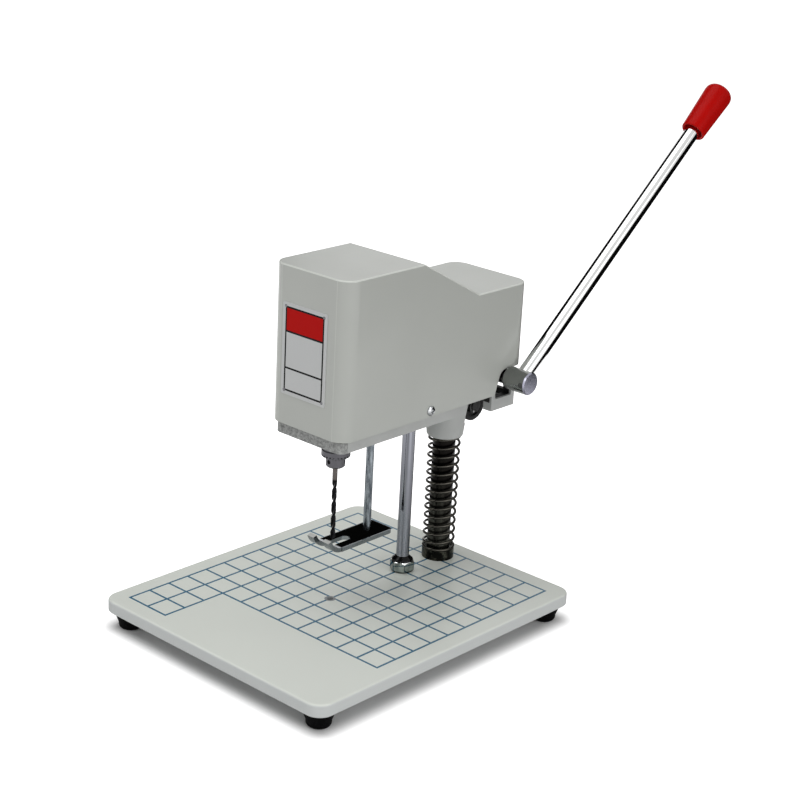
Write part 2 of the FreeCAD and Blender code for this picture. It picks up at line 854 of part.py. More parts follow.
def gear_slots():
    """Room for the rack gear with its flange, for the pinion, and for the toothed sector."""
    reach = idler_flange_diameter / 2 + gear_room
    front = idler_back - idler_flange_diameter / 2 - gear_room / 2
    back = cheek_back - rear_lug_thickness
    low = min(idler_height, head_bottom) - reach
    high = max(idler_height + reach, floor_top)
    gear_left = -rack_gear_width / 2 - gear_room
    gear_right = idler_flange_outer + clip_thickness + 2 * gear_room
    sector_low = lever_axis_height - sector_pitch_radius - 2 * gear_module
    return [
        box(gear_left, gear_right, front, back, low, high),
        box(-cheek_inner, gear_left, front, back, low, high + cut_margin),
        box(sector_inner - sector_room, sector_inner + sector_width + sector_room,
            front, cheek_back + cut_margin, sector_low, rear_wall_top + cut_margin),
    ]


def bush(radius, wall, y, z_low, z_high):
    tube = upright(radius + wall, 0, y, z_low, z_high)
    return tube.cut(upright(radius + running_clearance, 0, y,
                            z_low - cut_margin, z_high + cut_margin))


def shaft_bush(x_low, x_high):
    tube = crosswise(shaft_bush_radius, lever_axis_back, lever_axis_height, x_low, x_high)
    return tube.cut(crosswise(lever_shaft_diameter / 2 + running_clearance, lever_axis_back,
                              lever_axis_height, x_low - cut_margin, x_high + cut_margin))


# Cover

def cover_body(inset):
    """The closed outer form of the cover, made smaller by inset on every side but the bottom."""
    side = cover_half_width - inset
    front = cover_front + inset
    back = cover_back - inset
    low = cover_bottom
    plan = rounded_plate(-side, side, front, back, low - cut_margin, cover_front_top + cut_margin,
                         cover_corner_radius - inset)
    slope = math.atan2(cover_front_top - cover_rear_top, cover_slope_back - cover_slope_front)
    shift = inset * math.tan(slope / 2)
    outline = [(front, low), (back, low), (back, cover_rear_top - inset),
               (cover_slope_back - shift, cover_rear_top - inset),
               (cover_slope_front - shift, cover_front_top - inset),
               (front, cover_front_top - inset)]
    return side_profile(outline, -side, side).common(plan)


def cover_top_edges(shape):
    """Edges round the top faces, where the sheet is bent over."""
    found = []
    for edge in shape.Edges:
        for face in shape.ancestorsOfType(edge, Part.Face):
            middle = face.CenterOfMass
            normal = face.normalAt(0, 0)
            if isinstance(face.Surface, Part.Plane) and normal.z > 0.5 and middle.z > cover_bottom:
                found.append(edge)
                break
    return found


def cover_notch():
    """Side openings for the lever shaft, open to the bottom and to the back."""
    low = cover_bottom - cut_margin
    high = cover_rear_opening_top
    end = cover_back + cut_margin
    outline = [(notch_front, low), (notch_front + notch_setback, high), (end, high), (end, low)]
    notch = side_profile(outline, -cover_width, cover_width)
    corner = [edge for edge in notch.Edges
              if edge.BoundBox.YMax < cover_back and edge.BoundBox.ZMin > high - edge_tolerance]
    return notch.makeFillet(min(notch_corner_radius, (high - low) / 2), corner)


def head_cover():
    outer = cover_body(0)
    outer = outer.makeFillet(cover_edge_round, cover_top_edges(outer))
    inner = cover_body(cover_sheet)
    shell = outer.cut(inner)
    holes = [
        cover_notch(),
        crosswise(cover_screw_diameter / 2 + screw_clearance, cover_screw_back,
                  cover_screw_height, -cover_width, cover_width),
        Part.makeCylinder(gland_hole_diameter / 2, 3 * cover_sheet, gland_centre(-2 * cover_sheet),
                          Vector(0, 1, 0)),
    ]
    return cut_all(shell, holes)


def cover_screw():
    """A domed screw with a cross recess, upright, with the seat of its head at height 0."""
    radius = cover_screw_diameter / 2
    head = cover_screw_head_diameter / 2
    rim = cover_screw_rim_height
    dome = cover_screw_head_height - rim
    outline = [(0, -cover_screw_length), (radius, -cover_screw_length), (radius, 0), (head, 0)]
    for radius_at, height_at in rounded_corner(0, 0, 1, 0, 90):
        outline.append((head * radius_at, rim + dome * height_at))
    reach = cover_cross_share * head
    cross = box(-screw_slot_width / 2, screw_slot_width / 2, -reach, reach,
                cover_cross_share * cover_screw_head_height, cover_screw_head_height + cut_margin)
    other = cross.copy()
    other.rotate(Vector(0, 0, 0), Vector(0, 0, 1), 90)
    return cut_all(revolved(outline, 0, 0), [fuse_all([cross, other])])


def cover_screws():
    screws = []
    for side in (-1, 1):
        screw = cover_screw()
        screw.rotate(Vector(0, 0, 0), Vector(0, 1, 0), 90 * side)
        screw.translate(Vector(side * cover_half_width, cover_screw_back, cover_screw_height))
        screws.append(screw)
    return Part.makeCompound(screws)


def label_plate():
    plate = box(label_left, label_left + label_width, cover_front - label_thickness, cover_front,
                label_bottom, label_bottom + label_height)
    corners = [edge for edge in plate.Edges if edge.BoundBox.XLength < edge_tolerance
               and edge.BoundBox.ZLength < edge_tolerance]
    return plate.makeFillet(label_corner_radius, corners)


def label_rivets():
    rivets = []
    radius = label_rivet_diameter / 2
    face = cover_front - label_thickness
    for side in (label_left + label_rivet_inset, label_left + label_width - label_rivet_inset):
        for height in (label_bottom + label_rivet_inset,
                       label_bottom + label_height - label_rivet_inset):
            rivet = Part.makeCone(radius, label_rivet_top_share * radius, label_rivet_height,
                                  Vector(side, face, height), Vector(0, -1, 0))
            rivets.append(rivet)
    return Part.makeCompound(rivets)


def gland_centre(inward):
    height = cover_rear_opening_top + gland_above_opening
    return Vector(gland_side, cover_back + inward, height)


def cable_gland():
    neck = gland_hole_diameter / 2 - running_clearance
    flange = gland_flange_diameter / 2
    bore = gland_bore_diameter / 2
    seat = -cover_sheet - seat_clearance
    inner = seat - gland_flange_thickness
    outline = [(bore, inner), (flange, inner), (flange, seat), (neck, seat),
               (neck, 0), (flange, 0), (flange, gland_flange_thickness),
               (neck, gland_flange_thickness + gland_neck_length),
               (bore, gland_flange_thickness + gland_neck_length)]
    gland = revolved(outline, 0, 0)
    gland.rotate(Vector(0, 0, 0), Vector(1, 0, 0), -90)
    gland.translate(gland_centre(0))
    return gland


# Motor, spindle and chuck

def motor_body():
    radius = motor_diameter / 2
    waist = radius - motor_rib_depth
    nose = motor_nose_diameter / 2
    top = floor_top + motor_length
    edge = motor_edge_chamfer
    outline = [(0, floor_top), (radius - edge, floor_top), (radius, floor_top + edge),
               (radius, floor_top + motor_bell_height), (waist, floor_top + motor_bell_height),
               (waist, top - motor_bell_height), (radius, top - motor_bell_height),
               (radius, top - edge), (radius - edge, top), (nose, top),
               (nose, top + motor_cap_height), (0, top + motor_cap_height)]
    body = revolved(outline, 0, drill_back)
    low = floor_top - cut_margin
    cuts = [upright(spindle_diameter / 2 + running_clearance, 0, drill_back, low,
                    floor_top + spindle_rise + end_clearance)]
    for side in (-motor_screw_spacing / 2, motor_screw_spacing / 2):
        cuts.append(upright(motor_screw_diameter / 2 + thread_clearance, side, drill_back,
                            low, floor_top + motor_screw_grip + end_clearance))
    for rib in range(motor_rib_count):
        slot = box(waist, radius + cut_margin, -motor_rib_width / 2, motor_rib_width / 2,
                   top - motor_bell_height + cut_margin, top - edge - cut_margin)
        slot.rotate(Vector(0, 0, 0), Vector(0, 0, 1), 360.0 * rib / motor_rib_count)
        slot.translate(Vector(0, drill_back, 0))
        cuts.append(slot)
    return cut_all(body, cuts)


def motor_screws():
    screws = []
    low = head_bottom - motor_screw_head_height
    for side in (-motor_screw_spacing / 2, motor_screw_spacing / 2):
        head = upright(motor_screw_head_diameter / 2, side, drill_back, low, head_bottom)
        head = head.makeChamfer(motor_screw_chamfer, edges_at_height(head, low))
        shank = upright(motor_screw_diameter / 2, side, drill_back, low,
                        floor_top + motor_screw_grip)
        key = hexagon(motor_screw_key, side, drill_back, low - cut_margin,
                      low + motor_screw_key_depth)
        screws.append(fuse_all([head, shank]).cut(key))
    return Part.makeCompound(screws)


def spindle():
    low = chuck_top - chuck_taper_depth
    high = floor_top + spindle_rise
    shaft = upright(spindle_diameter / 2, 0, drill_back, low, high)
    return shaft.makeChamfer(ring_chamfer, edges_at_height(shaft, low) + edges_at_height(shaft, high))


def jaw_direction(turn):
    lean = math.radians(jaw_lean_angle)
    return Vector(math.sin(lean) * math.cos(turn), math.sin(lean) * math.sin(turn),
                  math.cos(lean))


def jaw_pin(turn, radius, start, length):
    """A pin along the path of one jaw; start is measured from the nose of the chuck."""
    nose = Vector(jaw_nose_radius * math.cos(turn), drill_back + jaw_nose_radius * math.sin(turn),
                  chuck_bottom)
    direction = jaw_direction(turn)
    return Part.makeCylinder(radius, length, nose + direction * start, direction)


def jaw_turns():
    return [math.radians(90 + 360.0 * jaw / jaw_count) for jaw in range(jaw_count)]


def chuck_body():
    """The body with its nose, its top flange, its bores and its key holes."""
    radius = chuck_body_diameter / 2
    flange = chuck_flange_diameter / 2
    neck_top = chuck_sleeve_top + end_clearance
    outline = [(0, chuck_bottom), (radius - chuck_nose_chamfer, chuck_bottom),
               (radius, chuck_bottom + chuck_nose_chamfer), (radius, neck_top),
               (flange, neck_top), (flange, chuck_top - chuck_flange_chamfer),
               (flange - chuck_flange_chamfer, chuck_top), (0, chuck_top)]
    taper_bottom = chuck_top - chuck_taper_depth
    cuts = [
        upright(spindle_diameter / 2 + seat_clearance, 0, drill_back,
                taper_bottom, chuck_top + cut_margin),
        upright(drill_diameter / 2 + screw_clearance, 0, drill_back,
                chuck_bottom - cut_margin, taper_bottom - cut_margin),
    ]
    for turn in jaw_turns():
        cuts.append(jaw_pin(turn, jaw_diameter / 2 + running_clearance, -cut_margin,
                            jaw_length + jaw_stroke + 2 * cut_margin))
        key_turn = turn + math.pi / jaw_count
        inner = radius - chuck_key_hole_depth
        start = Vector(inner * math.cos(key_turn), drill_back + inner * math.sin(key_turn),
                       chuck_bottom + chuck_key_hole_rise)
        cuts.append(Part.makeCylinder(chuck_key_hole_diameter / 2, radius, start,
                                      Vector(math.cos(key_turn), math.sin(key_turn), 0)))
    return cut_all(revolved(outline, 0, drill_back), cuts)


def chuck_sleeve():
    """The turning sleeve, with crown teeth for the chuck key cut in its lower edge."""
    outer = chuck_sleeve_diameter / 2
    grip = outer - chuck_grip_drop
    inner = chuck_body_diameter / 2 + running_clearance
    low = chuck_sleeve_bottom
    high = chuck_sleeve_top
    edge = chuck_sleeve_chamfer
    outline = [(inner, low), (outer - edge, low), (outer, low + edge),
               (outer, low + chuck_crown_height), (grip, low + chuck_crown_height + chuck_grip_drop),
               (grip, high - edge), (grip - edge, high), (inner, high)]
    cuts = []
    width = chuck_slot_share * math.pi * chuck_sleeve_diameter / chuck_tooth_count
    for tooth in range(chuck_tooth_count):
        slot = box(outer - chuck_tooth_depth, outer + cut_margin, -width / 2, width / 2,
                   low - cut_margin, low + chuck_tooth_height)
        slot.rotate(Vector(0, 0, 0), Vector(0, 0, 1), 360.0 * (tooth + 0.5) / chuck_tooth_count)
        slot.translate(Vector(0, drill_back, 0))
        cuts.append(slot)
    return cut_all(revolved(outline, 0, drill_back), cuts)


def chuck_jaw(turn):
    """A round jaw with a flat grip along the drill, ground off level with the nose."""
    pin = jaw_pin(turn, jaw_diameter / 2, -jaw_diameter / 2, jaw_length + jaw_diameter / 2)
    grip = drill_diameter / 2 + seat_clearance
    keep = box(grip, 2 * chuck_body_diameter, -jaw_diameter, jaw_diameter, chuck_bottom,
               chuck_bottom + 2 * jaw_length)
    keep.rotate(Vector(0, 0, 0), Vector(0, 0, 1), math.degrees(turn))
    keep.translate(Vector(0, drill_back, 0))
    return pin.common(keep)


def drill_bit():
    radius = drill_diameter / 2
    point = radius / math.tan(math.radians(drill_point_angle / 2))
    top = chuck_bottom + drill_shank_grip
    outline = [(0, drill_tip_height), (radius, drill_tip_height + point), (radius, top), (0, top)]
    bit = revolved(outline, 0, drill_back)
    flute_top = chuck_bottom - drill_shank_length
    height = flute_top - drill_tip_height + flute_run_out
    flutes = []
    for start in (0, 180):
        flute = helix_rod(flute_offset, flute_lead, height, flute_width / 2, 0, 0, 0)
        flute.rotate(Vector(0, 0, 0), Vector(0, 0, 1), start)
        flute.translate(Vector(0, drill_back, drill_tip_height - flute_run_out))
        flutes.append(flute)
    return cut_all(bit, flutes)


# Presser foot

def toe(side):
    """A finger that runs on from the plate and curls up in front of the drill."""
    outer = toe_bend_radius + presser_thickness
    centre = Vector(0, presser_front, presser_top + toe_bend_radius)
    end = math.radians(toe_bend_angle)
    half = end / 2
    low_start = centre + Vector(0, 0, -outer)
    low_mid = centre + Vector(0, -outer * math.sin(half), -outer * math.cos(half))
    low_end = centre + Vector(0, -outer * math.sin(end), -outer * math.cos(end))
    high_end = centre + Vector(0, -toe_bend_radius * math.sin(end),
                               -toe_bend_radius * math.cos(end))
    high_mid = centre + Vector(0, -toe_bend_radius * math.sin(half),
                               -toe_bend_radius * math.cos(half))
    high_start = centre + Vector(0, 0, -toe_bend_radius)
    edges = [
        Part.Arc(low_start, low_mid, low_end).toShape(),
        Part.LineSegment(low_end, high_end).toShape(),
        Part.Arc(high_end, high_mid, high_start).toShape(),
        Part.LineSegment(high_start, low_start).toShape(),
    ]
    finger = Part.Face(Part.Wire(edges)).extrude(Vector(toe_width, 0, 0))
    finger.translate(Vector(side * toe_spacing / 2 - toe_width / 2, 0, 0))
    return finger


def presser_plate():
    half = presser_width / 2
    plate = box(-half, half, presser_front, presser_back, presser_bottom, presser_top)
    rear = [edge for edge in upright_edges(plate)
            if edge.BoundBox.YMin > presser_back - edge_tolerance]
    plate = plate.makeFillet(presser_corner_radius, rear)
    slot_half = presser_slot_width / 2
    slot_end = presser_slot_end - slot_half
    low = presser_bottom - cut_margin
    high = presser_top + cut_margin
    slot_round = upright(slot_half, 0, slot_end, low, high)
    slot = box(-slot_half, slot_half, presser_front - cut_margin, slot_end, low, high)
    hole = upright(presser_rod_diameter / 2 + seat_clearance, 0, presser_rod_back, low, high)
    plate = cut_all(plate, [slot, slot_round, hole])
    return fuse_all([plate, toe(-1), toe(1)])


def presser_rod():
    rod = upright(presser_rod_diameter / 2, 0, presser_rod_back,
                  presser_bottom + end_clearance, presser_rod_top)
    return rod.makeChamfer(presser_rod_chamfer, edges_at_height(rod, presser_rod_top))


def presser_ring():
    low = floor_top + presser_boss_height + stop_clearance
    high = low + presser_ring_height
    ring = upright(presser_ring_diameter / 2, 0, presser_rod_back, low, high)
    return ring.cut(upright(presser_rod_diameter / 2 + seat_clearance, 0, presser_rod_back,
                            low - cut_margin, high + cut_margin))


# Idler between the rack and the lever

def idler_pinion():
    """A pinion cut on the end of the sleeve that the rack gear and its flange sit on."""
    low = -cheek_inner + idler_end_play
    bore = idler_axle_diameter / 2 + running_clearance
    sleeve = crosswise(idler_sleeve_radius, idler_back, idler_height, low, idler_flange_outer)
    teeth = gear(pinion_teeth, mesh_angle, idler_back, idler_height,
                 pinion_inner, pinion_inner + pinion_width)
    return fuse_all([sleeve, teeth]).cut(crosswise(bore, idler_back, idler_height,
                                                   low - cut_margin,
                                                   idler_flange_outer + cut_margin))


def idler_gear():
    half = rack_gear_width / 2
    teeth = gear(rack_gear_teeth, 180, idler_back, idler_height, -half, half)
    return teeth.cut(crosswise(idler_sleeve_radius + seat_clearance, idler_back, idler_height,
                               -half - cut_margin, half + cut_margin))


def idler_flange():
    low = rack_gear_width / 2 + idler_flange_gap
    high = idler_flange_outer
    radius = idler_flange_diameter / 2
    disc = crosswise(radius, idler_back, idler_height, low, high)
    rims = [edge for edge in disc.Edges if edge.BoundBox.XLength < edge_tolerance]
    disc = disc.makeChamfer(idler_flange_chamfer, rims)
    dish = crosswise(idler_flange_dish_diameter / 2, idler_back, idler_height,
                     high - idler_flange_dish_depth, high + cut_margin)
    groove = crosswise(radius + cut_margin, idler_back, idler_height,
                       low + idler_flange_rim, high - idler_flange_rim)
    groove = groove.cut(crosswise(radius - idler_flange_groove, idler_back, idler_height,
                                  low, high))
    bore = crosswise(idler_sleeve_radius + seat_clearance, idler_back, idler_height,
                     low - cut_margin, high + cut_margin)
    return cut_all(disc, [dish, groove, bore])


def idler_axle():
    low = -cheek_outer + end_clearance
    high = idler_flange_outer + idler_end_play + clip_thickness + clip_end_reach
    return crosswise(idler_axle_diameter / 2, idler_back, idler_height, low, high)


def clip(radius, back, height, x_low):
    """A spring clip with an open gap at the bottom."""
    x_high = x_low + clip_thickness
    ring = crosswise(radius + clip_width, back, height, x_low, x_high)
    hole = crosswise(radius + seat_clearance, back, height, x_low - cut_margin, x_high + cut_margin)
    half_gap = clip_gap_share * radius
    gap = box(x_low - cut_margin, x_high + cut_margin, back - half_gap, back + half_gap,
              height - radius - clip_width - cut_margin, height)
    return cut_all(ring, [hole, gap])


def idler_clip():
    return clip(idler_axle_diameter / 2, idler_back, idler_height,
                idler_flange_outer + idler_end_play)


# Lever

def lever_shaft():
    radius = lever_shaft_diameter / 2
    low = -cheek_outer - idler_end_play - clip_thickness - clip_end_reach
    high = lever_hub_outer - lever_hub_end_wall - end_clearance
    shaft = crosswise(radius, lever_axis_back, lever_axis_height, low, high)
    spigot = upright(lever_rod_spigot_diameter / 2 + seat_clearance, lever_rod_side,
                     lever_axis_back, lever_axis_height - end_clearance,
                     lever_axis_height + 2 * radius)
    return cut_all(shaft, [leaned(spigot), gear_pin_hole()])


def lever_clip():
    return clip(lever_shaft_diameter / 2, lever_axis_back, lever_axis_height,
                -cheek_outer - idler_end_play - clip_thickness)


def lever_hub():
    radius = lever_hub_diameter / 2
    hub = crosswise(radius, lever_axis_back, lever_axis_height, lever_hub_inner, lever_hub_outer)
    rims = [edge for edge in hub.Edges if edge.BoundBox.XLength < edge_tolerance]
    hub = hub.makeChamfer(lever_hub_chamfer, rims)
    bore = crosswise(lever_shaft_diameter / 2 + seat_clearance, lever_axis_back,
                     lever_axis_height, lever_hub_inner - cut_margin,
                     lever_hub_outer - lever_hub_end_wall)
    seat = upright(lever_rod_diameter / 2 + seat_clearance, lever_rod_side, lever_axis_back,
                   lever_axis_height + lever_rod_seat, lever_axis_height + 2 * radius)
    spigot = upright(lever_rod_spigot_diameter / 2 + seat_clearance, lever_rod_side,
                     lever_axis_back, lever_axis_height, lever_axis_height + 2 * radius)
    screw = Part.makeCylinder(set_screw_diameter / 2 + thread_clearance, 2 * radius,
                              Vector(set_screw_side, lever_axis_back, lever_axis_height),
                              Vector(0, -1, 0))
    return cut_all(hub, [bore, leaned(seat), leaned(spigot), screw])


def lever_set_screw():
    start = lever_shaft_diameter / 2 + running_clearance
    return Part.makeCylinder(set_screw_diameter / 2, set_screw_length,
                             Vector(set_screw_side, lever_axis_back - start, lever_axis_height),
                             Vector(0, -1, 0))


def lever_rod():
    end = lever_axis_height + lever_length - grip_end_wall
    seat = lever_axis_height + lever_rod_seat
    rod = upright(lever_rod_diameter / 2, lever_rod_side, lever_axis_back, seat, end)
    rod = rod.makeChamfer(lever_rod_chamfer, edges_at_height(rod, end))
    spigot = upright(lever_rod_spigot_diameter / 2, lever_rod_side, lever_axis_back,
                     lever_axis_height, seat + lever_rod_chamfer)
    return leaned(fuse_all([rod, spigot]))


def lever_grip():
    """A handle that widens to a domed end, with a blind hole for the rod."""
    low = lever_axis_height + lever_length - grip_length
    high = lever_axis_height + lever_length
    low_radius = grip_low_diameter / 2
    high_radius = grip_high_diameter / 2
    hole = lever_rod_diameter / 2 + seat_clearance
    hole_end = high - grip_end_wall + seat_clearance
    dome = grip_dome_share * high_radius
    outline = [(hole, low)]
    outline += rounded_corner(low_radius - grip_rim_round, low + grip_rim_round, grip_rim_round,
                              -90, 0)
    for radius_at, height_at in rounded_corner(0, 0, 1, 0, 90)[:-1]:
        outline.append((high_radius * radius_at, high - dome + dome * height_at))
    outline += [(0, high), (0, hole_end), (hole, hole_end)]
    return leaned(revolved(outline, lever_rod_side, lever_axis_back))


def gear_pin_side():
    return sector_inner + sector_width + sector_hub_reach / 2


def gear_pin_hole():
    return upright(gear_pin_diameter / 2 + seat_clearance, gear_pin_side(), lever_axis_back,
                   lever_axis_height - sector_hub_diameter / 2,
                   lever_axis_height + sector_hub_diameter / 2)


def gear_pin():
    reach = sector_hub_diameter / 2 - end_clearance
    return upright(gear_pin_diameter / 2, gear_pin_side(), lever_axis_back,
                   lever_axis_height - reach, lever_axis_height + reach)


def lever_gear():
    """A toothed sector on a hub; one space faces the idler at rest."""
    toward_idler = mesh_angle + 180
    half_pitch = 180.0 / sector_teeth
    outer = sector_inner + sector_width
    hub_end = outer + sector_hub_reach
    wheel = gear(sector_teeth, toward_idler + half_pitch, lever_axis_back, lever_axis_height,
                 sector_inner, outer)
    first = math.radians(toward_idler + sector_lead_angle)
    last = math.radians(toward_idler - sector_follow_angle)
    reach = 3 * sector_pitch_radius
    pie = [(lever_axis_back, lever_axis_height)]
    for turn in (first, (first + last) / 2, last):
        pie.append((lever_axis_back + reach * math.cos(turn),
                    lever_axis_height + reach * math.sin(turn)))
    sector = wheel.common(side_profile(pie, sector_inner, outer))
    hub = crosswise(sector_hub_diameter / 2, lever_axis_back, lever_axis_height,
                    sector_inner, hub_end)
    bore = crosswise(lever_shaft_diameter / 2 + seat_clearance, lever_axis_back,
                     lever_axis_height, sector_inner - cut_margin, hub_end + cut_margin)
    return cut_all(fuse_all([sector, hub]), [bore, gear_pin_hole()])


def all_parts():
    parts = {}
    parts["base_plate"] = base_plate()
    for name, (x, y) in foot_places().items():
        parts["foot_" + name] = foot(x, y)
    parts["foot_screws"] = foot_screws()
    parts["drill_pad"] = drill_pad()
    parts["column"] = column()
    parts["column_screw"] = column_screw()
    parts["column_collar"] = column_collar()
    parts["column_stop_ring"] = column_stop_ring()
    parts["return_spring"] = return_spring()
    parts["guide_rod"] = guide_rod()
    parts["guide_rod_nut"] = guide_rod_nut()
    parts["guide_rod_collar"] = guide_rod_collar()
    parts["head_casting"] = head_casting()
    parts["column_bush_lower"] = bush(column_radius, column_bush_wall, column_back,
                                      column_boss_bottom, column_boss_bottom + column_bush_length)
    parts["column_bush_upper"] = bush(column_radius, column_bush_wall, column_back,
                                      upper_sleeve_top - column_bush_length, upper_sleeve_top)
    parts["guide_bush"] = bush(guide_rod_diameter / 2, guide_bush_wall, guide_rod_back,
                               head_bottom, floor_top + guide_boss_height)
    parts["presser_bush"] = bush(presser_rod_diameter / 2, presser_bush_wall, presser_rod_back,
                                 head_bottom, floor_top + presser_boss_height)
    parts["shaft_bush_left"] = shaft_bush(-cheek_outer, -cheek_inner)
    parts["shaft_bush_right"] = shaft_bush(bearing_wall_inner,
                                           bearing_wall_inner + bearing_wall_thickness)
    parts["head_cover"] = head_cover()
    parts["cover_screws"] = cover_screws()
    parts["label_plate"] = label_plate()
    parts["label_rivets"] = label_rivets()
    parts["cable_gland"] = cable_gland()
    parts["motor_body"] = motor_body()
    parts["motor_screws"] = motor_screws()
    parts["spindle"] = spindle()
    parts["chuck_body"] = chuck_body()
    parts["chuck_sleeve"] = chuck_sleeve()
    for number, turn in enumerate(jaw_turns(), 1):
        parts["chuck_jaw_" + str(number)] = chuck_jaw(turn)
    parts["drill_bit"] = drill_bit()
    parts["presser_plate"] = presser_plate()
    parts["presser_rod"] = presser_rod()
    parts["presser_ring"] = presser_ring()
    parts["idler_axle"] = idler_axle()
    parts["idler_clip"] = idler_clip()
    parts["idler_pinion"] = idler_pinion()
    parts["idler_gear"] = idler_gear()
    parts["idler_flange"] = idler_flange()
    parts["lever_shaft"] = lever_shaft()
    parts["lever_clip"] = lever_clip()
    parts["lever_hub"] = lever_hub()
    parts["lever_set_screw"] = lever_set_screw()
    parts["lever_rod"] = lever_rod()
    parts["lever_grip"] = lever_grip()
    parts["lever_gear"] = lever_gear()
    parts["gear_pin"] = gear_pin()
    return parts


for name, shape in all_parts().items():
    placed = shape.copy()
    placed.translate(Vector(0, -origin_back, 0))
    placed.exportStep("parts/" + name + ".step")
    box_of_part = placed.optimalBoundingBox()
    print(name, len(placed.Solids), placed.isValid(), round(placed.Volume, 1),
          [round(value, 2) for value in (box_of_part.XMin, box_of_part.XMax, box_of_part.YMin,
                                         box_of_part.YMax, box_of_part.ZMin, box_of_part.ZMax)])
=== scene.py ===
"""Looks of the desk-top paper drilling press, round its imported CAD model. Metres throughout."""

import math

import bmesh
import bpy
from mathutils import Matrix, Vector


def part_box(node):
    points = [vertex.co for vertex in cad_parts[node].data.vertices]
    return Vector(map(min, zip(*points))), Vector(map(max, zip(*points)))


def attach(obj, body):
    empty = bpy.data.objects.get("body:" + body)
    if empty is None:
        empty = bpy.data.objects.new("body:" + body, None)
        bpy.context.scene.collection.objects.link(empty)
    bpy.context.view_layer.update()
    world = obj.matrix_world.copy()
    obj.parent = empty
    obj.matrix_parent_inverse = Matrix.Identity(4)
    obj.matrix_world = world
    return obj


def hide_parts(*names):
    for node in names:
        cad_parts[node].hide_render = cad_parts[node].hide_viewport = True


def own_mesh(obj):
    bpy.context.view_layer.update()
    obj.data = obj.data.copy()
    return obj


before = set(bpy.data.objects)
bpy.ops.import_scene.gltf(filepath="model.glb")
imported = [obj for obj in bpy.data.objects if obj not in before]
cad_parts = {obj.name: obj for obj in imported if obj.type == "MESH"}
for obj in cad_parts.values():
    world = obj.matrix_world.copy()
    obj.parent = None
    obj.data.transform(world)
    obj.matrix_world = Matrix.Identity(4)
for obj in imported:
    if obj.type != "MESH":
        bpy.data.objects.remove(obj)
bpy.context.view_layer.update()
MM = 0.001

# Camera: where it stands, which way it looks in degrees, and its lens in millimetres
CAMERA_PLACE = (0.8816, -1.0510, 0.6348)
CAMERA_AZIMUTH = 41.802
CAMERA_ELEVATION = 19.466
CAMERA_ROLL = 2.968
CAMERA_LENS = 83.95
SENSOR_WIDTH = 36.0
CAMERA_CLIP = (0.05, 50.0)

# Lamps: name, place, the point aimed at, width and height, and power in watts
MIDDLE = (0.03, -0.1, 0.15)
LAMPS = (
    ("top_lamp", (-0.3, -0.3, 1.6), (0, -0.12, 0.12), (1.4, 1.4), 12.1),
    ("front_lamp", (-0.3, -1.9, 0.75), (0, -0.2, 0.1), (1.6, 1.3), 5.8),
    ("corner_lamp", (1.5, -1.0, 0.75), MIDDLE, (2.0, 1.3), 5.3),
    ("side_lamp", (1.7, -0.1, 0.75), MIDDLE, (1.4, 1.3), 8.9),
)

# Black cards that only reflections see: name, place, the point faced, width and height
FLAGS = (
    ("flag_left", (-0.95, 0.06, 1.20), (0.05, 0.02, 1.20), (1.30, 2.1)),
    ("flag_right", (0.28, 0.42, 0.21), (0.28, 0.0, 0.21), (0.94, 0.42)),
)
FLAG_BLACK = (0.004, 0.004, 0.004)

# Light of the room, and the floor. The floor turns white over a fade that starts SHADOW_INSET
# inside the base plate's outline, and is SHADOW_REACH wide for the camera and GREY_REACH wide for
# reflections
WORLD_LIGHT = 0.20
FLOOR_HALF = 12.0
FLOOR_GREY = (0.78, 0.78, 0.78)
SHADOW_REACH = 0.028
SHADOW_INSET = 0.012
GREY_REACH = 0.50

# Printed grid on the base plate. Its first rows are bare but for their first columns
GRID_CELL_X = 20.0 * MM
GRID_CELL_Y = 18.8 * MM
GRID_COLUMNS = 10
GRID_ROWS = 13
GRID_LINE = 1.8 * MM
GRID_FRONT_GAP = 15.0 * MM
BARE_FIRST_COLUMN = 2
BARE_ROWS = 3

# Print on the label: its margin, line width, red band, and the height of the low line
LABEL_MARGIN = 2.7 * MM
LABEL_LINE = 1.4 * MM
LABEL_BAND = 17.8 * MM
LABEL_LOW_LINE = 16.7 * MM

# Head: how far the cover's front folds are from its sides, a height in the middle of it, and the
# casting's half width, wall, floor and rough rim
FOLD_INSET = 10.5 * MM
COVER_MIDDLE = 200.0 * MM
CASTING_HALF = 34.0 * MM
CASTING_WALL = 2.0 * MM
CASTING_FLOOR = 158.5 * MM
RIM_DEPTH = 7.0 * MM
RIM_HEIGHTS = (150.0 * MM, 170.0 * MM)

# Presser foot: its top face, and how far behind its front the black starts and the toes, painted
# pale on top as a highlight, end
PRESSER_TOP = 70.0 * MM
PRESSER_BLACK = 14.0 * MM
PRESSER_TOES = 6.0 * MM

# Drill: where its flutes end and its bare shank starts
FLUTE_TOP = 120.4 * MM
SHANK_LOW = 120.0 * MM

# Guide rod nut: its height and the way one of its corners points. The buffer on it has a hole and a
# slope, as radius and height above the nut in millimetres
NUT_HEIGHT = 8.8 * MM
NUT_TURN = math.radians(-36.0)
BUFFER_HOLE = 5.05
BUFFER_SLOPE = ((8.4, 0.0), (8.4, 0.7), (8.2, 1.2), (7.6, 1.75), (6.8, 2.4), (5.9, 3.2),
                (5.4, 3.75), (BUFFER_HOLE, 3.9))

# Lever: its pivot, and how far it leans to the back from upright
LEVER_PIVOT = (50.0 * MM, 15.2 * MM, 178.5 * MM)
LEVER_LEAN = math.radians(50.0)

